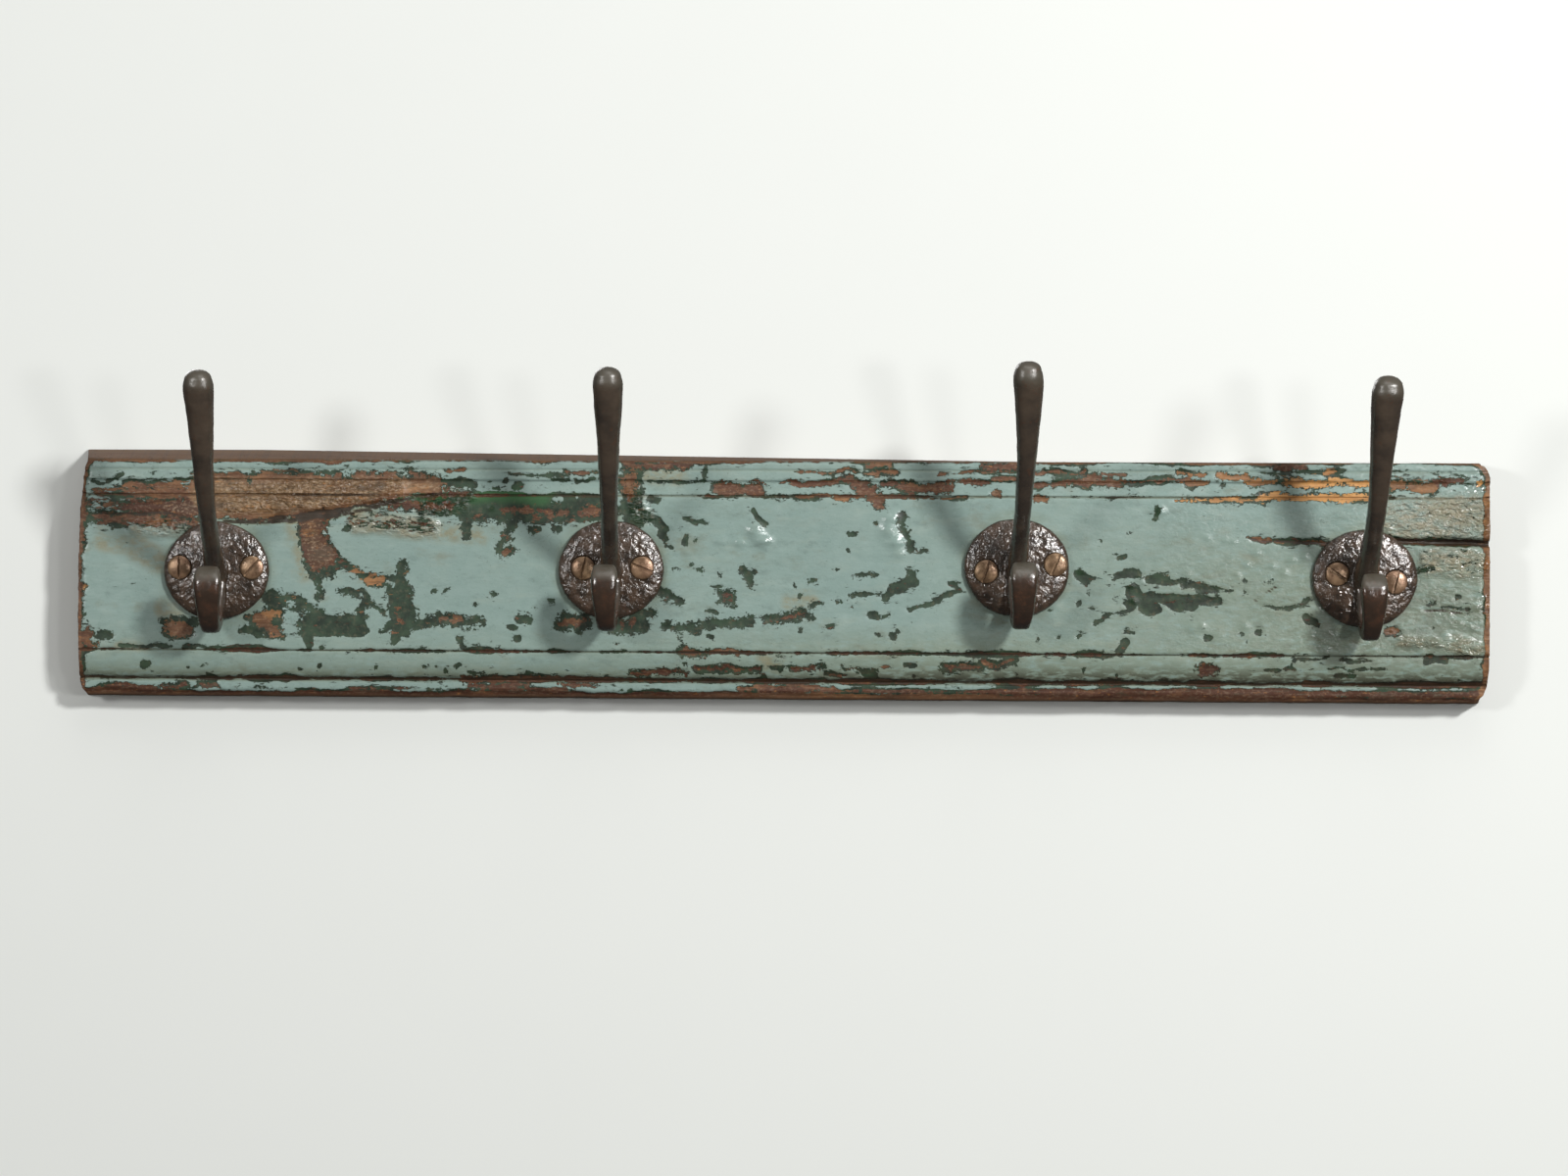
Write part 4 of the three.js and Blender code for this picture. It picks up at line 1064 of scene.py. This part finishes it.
def prong(name, stations, power):
    """A tube along (out, up, width, thickness, sideways) stations with a rounded nose."""
    path = hermite(stations, 0.9)
    forward = np.gradient(path[:, :2], axis=0)
    forward /= np.linalg.norm(forward, axis=1)[:, None]
    angle = np.arange(36) * 2 * math.pi / 36
    cos, sin = np.cos(angle), np.sin(angle)
    bulge_x = np.sign(cos) * np.abs(cos) ** (2 / power)
    bulge_n = np.sign(sin) * np.abs(sin) ** (2 / power)
    rings = []

    def ring(centre, across, direction, width, thick):
        normal = (-direction[1], direction[0])
        out = centre[0] + normal[0] * bulge_n * thick / 2
        up = centre[1] + normal[1] * bulge_n * thick / 2
        rings.append(np.stack([across + bulge_x * width / 2, -out, up], axis=1))

    for station, direction in zip(path, forward):
        ring(station[:2], station[4], direction, station[2], station[3])
    nose, direction = path[-1], forward[-1]
    for degrees in (18, 36, 52, 66, 78, 86):
        reach = math.sin(math.radians(degrees)) * nose[3] * 0.35
        shrink = math.cos(math.radians(degrees))
        centre = nose[:2] + direction * reach
        ring(centre, nose[4], direction, nose[2] * shrink, nose[3] * shrink)
    return rings_mesh(name, rings)


def build_casting(number, hook):
    hook_x, hook_z, stout, tall, drift, lean, screws = hook
    radius = PLATE_WIDTH / 2
    profile = [
        (0, 0.4), (radius - 0.5, 0.4), (radius, -0.4), (radius + 0.05, -1.8), (radius - 0.3, -2.5),
    ]
    profile += [(radius * share, -rise) for share, rise in DOME]
    plate = turned("plate", profile, 96, squash=PLATE_HEIGHT / PLATE_WIDTH)
    upper = [
        (o, u * tall, w * stout, t * stout, np.interp(u, (0, 60, 82), (0, *drift))) for o, u, w, t in UPPER
    ]
    upper = prong("upper", upper, 2.3)
    lower = prong("lower", [(*s, lean * share) for s, share in zip(LOWER, LEAN_SHARE)], 4.2)
    obj = boolean(outward(plate), [upper, lower], "UNION")
    obj.name = f"iron_hook_{number}"
    remesh = obj.modifiers.new("remesh", "REMESH")
    remesh.mode = "VOXEL"
    remesh.voxel_size = 0.5 * MM
    soften = obj.modifiers.new("soften", "SMOOTH")
    soften.factor = 0.5
    soften.iterations = 6
    apply_modifiers(obj)
    points = read_points(obj)
    normals = read_normals(obj)
    seed = 100 * number
    out = -points[:, 1]
    on_plate = 1 - smoothstep(out, 5.5, 8.5)
    reach = np.hypot(points[:, 0], points[:, 2] * PLATE_WIDTH / PLATE_HEIGHT)
    pits = np.minimum(noise(points, 2.3, seed + 1), 0.2) + 0.7 * np.minimum(noise(points, 1.3, seed + 2), 0.2)
    swell = 0.22 * noise(points, 11, seed + 3) + 0.10 * noise(points, 4.5, seed + 4)
    push = swell + pits * (0.05 + 0.05 * on_plate)
    push += 0.25 * on_plate * noise(points, 9, seed + 5) * smoothstep(reach, 16, 22)
    points = points + normals * push[:, None]
    write_points(obj, points + np.array([hook_x, -PLANK_THICKNESS, hook_z]))
    write_attribute(obj, "plate", on_plate)
    # The tops of both prongs: worn, and painted lighter where they face up to the light.
    worn = smoothstep(points[:, 2], 74, 80)
    worn = np.maximum(worn, smoothstep(points[:, 2], -6, -2) * smoothstep(out, 28, 30) * (points[:, 2] < 8))
    write_attribute(obj, "tip", worn)
    write_attribute(obj, "lower", smoothstep(out, 9, 14) * smoothstep(-points[:, 2], -4, 4))

    cutters = []
    head, shank = HOOK_SCREW[0] / 2 + GAP, HOOK_SCREW[1] / 2 + GAP
    profile = [
        (0, -9), (head + 0.5, -9), (head + 0.15, -0.9), (head, 0), (shank, head - shank), (shank, 9), (0, 9),
    ]
    seat = [(r, y - PLANK_THICKNESS - SEAT) for r, y in profile]
    for sx, sz, _ in screws:
        cutters.append(turned("seat", seat, 48, (hook_x + sx, 0, hook_z + sz)))
    behind = rounded_rectangle(80, 80, 2)
    layers = [(behind, -PLANK_THICKNESS - GAP), (behind, -PLANK_THICKNESS + 9)]
    cutters.append(stack("behind", layers, (hook_x, hook_z)))
    boolean(obj, cutters)
    return obj


def iron_material():
    g = Graph("patinated_iron")
    plate = g.attribute("plate")
    lower = g.attribute("lower")
    cloud = g.noise(14, 4, 0.6, 1.0)
    brown = g.mix(g.span(cloud, 0.35, 0.65), (0.038, 0.029, 0.022), (0.068, 0.049, 0.034))
    red = g.mix(g.span(g.noise(6, 4, 0.6, 2.0), 0.4, 0.7), (0.032, 0.018, 0.011), (0.062, 0.028, 0.015))
    colour = g.mix(g.math("MULTIPLY", lower, 0.85), brown, red)
    dark = g.mix(g.span(g.noise(5, 4, 0.65, 3.0), 0.35, 0.65), (0.022, 0.015, 0.010), (0.075, 0.045, 0.028))
    colour = g.mix(g.math("MULTIPLY", plate, 0.8), colour, dark)
    # The tops of the prongs are painted a lighter olive: wear, and painted light where they face up.
    colour = g.mix(g.math("MULTIPLY", g.attribute("tip"), 0.7), colour, (0.080, 0.072, 0.052))
    rust = g.span(g.noise(3.0, 4, 0.65, 4.0), 0.55, 0.72, 0, 0.65)
    colour = g.mix(rust, colour, (0.075, 0.036, 0.020))
    pits = g.noise(3.0, 2, 0.5, 5.0)
    height = g.total(
        (g.span(pits, 0.3, 0.65), 0.22), (g.noise(1.3, 3, 0.6, 6.0), 0.20), (g.noise(5, 2, 0.5, 7.0), 0.5)
    )
    height = g.math("MULTIPLY", height, g.span(plate, 0, 1, 0.22, 1.3, smooth=False))
    g.bump(height)
    worn = g.math("MULTIPLY", g.attribute("tip"), 0.8)
    g.set(Base_Color=colour, Roughness=g.blend(worn, g.span(cloud, 0.3, 0.7, 0.17, 0.27), 0.42))
    g.shader.inputs["Metallic"].default_value = 0.1
    g.shader.inputs["Specular IOR Level"].default_value = 1.0
    return g.material


# ---- screws -------------------------------------------------------------------------------
def screw(name, sizes, slot_angle, place, facing):
    """A slotted wood screw. Its head's rim is at place and it faces -Y, or +Y when facing is -1."""
    head, shank, length, dome, slot_wide, slot_deep = sizes
    sides = 72
    angle = np.arange(sides) * 2 * math.pi / sides
    radius, core = head / 2, shank / 2
    rows = [(radius * math.sin(a), -dome * math.cos(a)) for a in np.linspace(0.03, 1.45, 9)]
    rows += [(radius, 0.06), (radius - 0.06, 0.22), (core + 0.25, radius - core), (core, radius - core + 0.6)]
    rings = []
    for r, y in rows:
        rings.append(np.stack([r * np.cos(angle), np.full(sides, y), r * np.sin(angle)], axis=1))
    start, pitch = radius - core + 0.6, shank * 0.36
    smooth_part = 0.28 * (length - start)
    for y in np.arange(start + 0.25, length - 0.1, 0.25):
        taper = min(1.0, (length - y) / (1.6 * shank))
        depth = 0.14 * shank * smoothstep(y - start, smooth_part, smooth_part + pitch)
        turn = (y / pitch - angle / (2 * math.pi)) % 1.0
        crest = 1 - np.abs(2 * turn - 1)
        r = taper * (core - depth + depth * np.clip(1.6 * crest - 0.4, 0, 1))
        rings.append(np.stack([r * np.cos(angle), np.full(sides, y), r * np.sin(angle)], axis=1))
    obj = outward(rings_mesh(name, rings))
    reach = radius + 1
    half = slot_wide / 2
    low, high = -dome - 1, -dome + slot_deep
    outline = [(-half, high - 0.15), (-half + 0.15, high), (half - 0.15, high), (half, high - 0.15)]
    outline += [
        (half + 0.02, -dome + 0.35), (half + 0.16, low), (-half - 0.16, low), (-half - 0.02, -dome + 0.35),
    ]
    cos, sin = math.cos(math.radians(slot_angle)), math.sin(math.radians(slot_angle))
    rings = []
    for along in (-reach, reach):
        rings.append([(along * cos - w * sin, y, along * sin + w * cos) for w, y in outline])
    slot = rings_mesh("slot", rings)
    boolean(obj, [slot])
    points = read_points(obj)
    reach = np.hypot(points[:, 0], points[:, 2])
    face = -dome * np.sqrt(np.clip(1 - (reach / radius) ** 2, 0, 1))
    # Where the slot is sunk below the head's face, for the painted shade in it.
    write_attribute(obj, "slot_shade", smoothstep(points[:, 1] - face, 0.05, 0.5) * (reach < radius - 0.02))
    points = points * np.array([facing, facing, 1])
    write_points(obj, points + np.array(place))
    return shade(obj, 32)


def brass_material():
    g = Graph("tarnished_brass")
    cloud = g.noise(3.5, 4, 0.6, 1.0)
    colour = g.mix(g.span(cloud, 0.35, 0.7), (0.15, 0.092, 0.050), (0.33, 0.215, 0.120))
    copper = g.span(g.noise(24, 1, 0.5, 7.0), 0.40, 0.60)
    colour = g.mix(g.math("MULTIPLY", copper, 0.5), colour, (0.33, 0.185, 0.125))
    shaded = g.span(g.noise(9, 2, 0.5, 8.0), 0.48, 0.62, 0, 0.55)
    colour = g.mix(shaded, colour, (0.095, 0.060, 0.032))
    colour = g.mix(g.span(g.noise(1.2, 4, 0.65, 2.0), 0.55, 0.75, 0, 0.8), colour, (0.085, 0.045, 0.028))
    # Painted shade in the slot, near black.
    colour = g.mix(g.math("MULTIPLY", g.attribute("slot_shade"), 0.92), colour, (0.020, 0.013, 0.009))
    scratch = g.noise((0.35, 3, 3.5), 4, 0.6, 3.0)
    g.bump(g.total((scratch, 0.05), (g.noise(1.5, 3, 0.6, 4.0), 0.14)))
    g.set(Base_Color=colour, Roughness=g.span(cloud, 0.3, 0.7, 0.24, 0.40))
    g.shader.inputs["Metallic"].default_value = 0.45
    return g.material


# ---- hanger plates ------------------------------------------------------------------------
def hanger_plate(name, centre_x):
    """A stamped steel plate with a keyhole and two countersunk holes, its edges just broken."""
    front, back = -GAP - HANGER_THICKNESS, -GAP
    rim = 0.18

    def blank(inset):
        return rounded_rectangle(
            HANGER_WIDTH - 2 * inset, HANGER_HEIGHT - 2 * inset, HANGER_CORNER - inset
        )

    centre = (centre_x, HANGER_Z)
    layers = [(blank(rim), front), (blank(0), front + rim), (blank(0), back - rim), (blank(rim), back)]
    plate = outward(stack(name, layers, centre))
    layers = [(keyhole_outline(rim + 1), front - 1), (keyhole_outline(0), front + rim)]
    layers += [(keyhole_outline(0), back - rim), (keyhole_outline(rim + 1), back + 1)]
    cutters = [stack("keyhole", layers, centre)]
    for end in (-1, 1):
        place = (centre_x + end * HANGER_SCREW_X, 0, HANGER_Z)
        profile = [(2.05, 0.5), (2.05, -4)]
        cutters.append(turned("hole", profile, 40, place))
        profile = [(4.0, 0.5), (3.7, -GAP), (1.8, -2.2)]
        cutters.append(turned("sink", profile, 40, place))
    return boolean(plate, cutters)


def steel_material():
    g = Graph("zinc_plated_steel")
    spangle = g.cells(2.6)
    colour = g.mix(g.span(spangle, 0.1, 0.8), (0.50, 0.49, 0.46), (0.66, 0.65, 0.62))
    colour = g.mix(g.span(g.noise(4, 4, 0.65, 1.0), 0.52, 0.75, 0, 0.6), colour, (0.30, 0.27, 0.22))
    g.bump(g.total((g.noise((6, 1, 0.5), 3, 0.6, 2.0), 0.03), (spangle, 0.02)))
    g.set(Base_Color=colour, Roughness=g.span(g.noise(3, 3, 0.6, 3.0), 0.3, 0.7, 0.30, 0.50), Metallic=0.95)
    return g.material


# ---- assembly -----------------------------------------------------------------------------
plank = build_plank()
cut_plank(plank)
shade(plank)
finish_piece(plank, plank_material(), "plank")

iron, brass, steel = iron_material(), brass_material(), steel_material()
for number, hook in enumerate(HOOKS, 1):
    casting = shade(build_casting(number, hook), 40)
    finish_piece(casting, iron, f"hook_casting_{number}")
    hook_x, hook_z, *_, screws = hook
    for side, (sx, sz, slot_angle) in zip(("left", "right"), screws):
        place = (hook_x + sx, -PLANK_THICKNESS - SEAT, hook_z + sz)
        piece = screw(f"slotted_screw_{number}_{side}", HOOK_SCREW, slot_angle, place, 1)
        finish_piece(piece, brass, f"hook_screw_{number}_{side}")

for side, way in (("left", -1), ("right", 1)):
    plate = shade(hanger_plate(f"keyhole_plate_{side}", way * HANGER_X), 30)
    finish_piece(plate, steel, f"hanger_plate_{side}")
    for number, (end, away) in enumerate((("outer", way), ("inner", -way))):
        place = (way * HANGER_X + away * HANGER_SCREW_X, -GAP, HANGER_Z)
        piece = screw(f"small_screw_{side}_{end}", HANGER_SCREW, 20 + 50 * number, place, -1)
        finish_piece(piece, steel, f"hanger_screw_{side}_{end}")


# ---- stage, lights, camera ----------------------------------------------------------------
def stage_plane(name, corners, colour, one_sided):
    """A matt plane through corners in metres. A one-sided one is clear from behind."""
    obj = make_object(name, np.array(corners) / MM, [(0, 1, 2, 3)])
    g = Graph(name + "_paint")
    mottled = g.noise(60, 3, 0.5, 1.0)
    g.set(Base_Color=g.mix(mottled, colour, tuple(0.985 * c for c in colour)), Roughness=0.9)
    if one_sided:
        clear = g.add("BsdfTransparent")
        mixer = g.add("MixShader")
        g.tree.links.new(g.add("NewGeometry").outputs["Backfacing"], mixer.inputs[0])
        g.tree.links.new(g.shader.outputs[0], mixer.inputs[1])
        g.tree.links.new(clear.outputs[0], mixer.inputs[2])
        output = next(n for n in g.tree.nodes if n.type == "OUTPUT_MATERIAL")
        g.tree.links.new(mixer.outputs[0], output.inputs[0])
        obj.visible_shadow = False
        obj.visible_diffuse = False
        obj.visible_glossy = False
    obj.data.materials.append(g.material)
    return obj


# From here on everything is in metres.
WALL_Y = 0.0006                 # just behind the back of the plank
ROOM = 3.0                      # how far the wall and floor reach to the sides, up and back
ROOM_FRONT = -4.0
FLOOR_Z = -0.6
wall_corners = [
    (-ROOM, WALL_Y, FLOOR_Z), (ROOM, WALL_Y, FLOOR_Z), (ROOM, WALL_Y, ROOM), (-ROOM, WALL_Y, ROOM),
]
floor_corners = [
    (-ROOM, ROOM_FRONT, FLOOR_Z), (ROOM, ROOM_FRONT, FLOOR_Z), (ROOM, ROOM, FLOOR_Z), (-ROOM, ROOM, FLOOR_Z),
]
stage_plane("wall", wall_corners, (0.70, 0.715, 0.685), True)
floor = stage_plane("floor", floor_corners, (0.50, 0.50, 0.49), False)
floor.visible_diffuse = False
floor.visible_glossy = False


def area_light(name, place, size, power):
    """A round lamp aimed at the rack."""
    data = bpy.data.lights.new(name, "AREA")
    data.shape = "DISK"
    data.size = size
    data.energy = power
    obj = bpy.data.objects.new(name, data)
    obj.location = place
    obj.rotation_euler = (-Vector(place)).to_track_quat("-Z", "Y").to_euler()
    bpy.context.scene.collection.objects.link(obj)


area_light("key", (1.08, -1.68, 0.75), 0.26, 37.5)
area_light("right", (1.20, -1.75, 0.0), 0.18, 5)
area_light("window", (0.80, -1.95, 0.05), 0.24, 3.4)
area_light("left", (-0.92, -1.30, 0.26), 0.24, 6.9)
area_light("top", (0.1, -0.9, 1.6), 1.0, 5.0)
area_light("behind", (-1.0, 2.2, 1.1), 1.2, 18)

world = bpy.data.worlds.new("studio")
world.use_nodes = True
tree = world.node_tree
background = tree.nodes["Background"]
direction = tree.nodes.new("ShaderNodeTexCoord")
parts = tree.nodes.new("ShaderNodeSeparateXYZ")
ramp = tree.nodes.new("ShaderNodeMapRange")
tree.links.new(direction.outputs["Generated"], parts.inputs[0])
tree.links.new(parts.outputs["Z"], ramp.inputs[0])
for socket, value in zip(list(ramp.inputs)[1:5], (-0.3, 0.8, 0.07, 0.26)):
    socket.default_value = value
tree.links.new(ramp.outputs[0], background.inputs["Strength"])
background.inputs["Color"].default_value = (1.0, 0.985, 0.96, 1)
bpy.context.scene.world = world
bpy.context.scene.view_settings.view_transform = "Standard"

LENS = 104.85                   # mm, like the sensor
SENSOR = 36
CAMERA_DISTANCE = 2.022         # from the wall
CAMERA_Z = -0.0032
camera_data = bpy.data.cameras.new("camera")
camera_data.lens = LENS
camera_data.sensor_width = SENSOR
camera_data.clip_end = 50
camera = bpy.data.objects.new("camera", camera_data)
camera.location = (0, -CAMERA_DISTANCE, CAMERA_Z)
camera.rotation_euler = (math.pi / 2, -ROLL, 0)
bpy.context.scene.collection.objects.link(camera)
bpy.context.scene.camera = camera
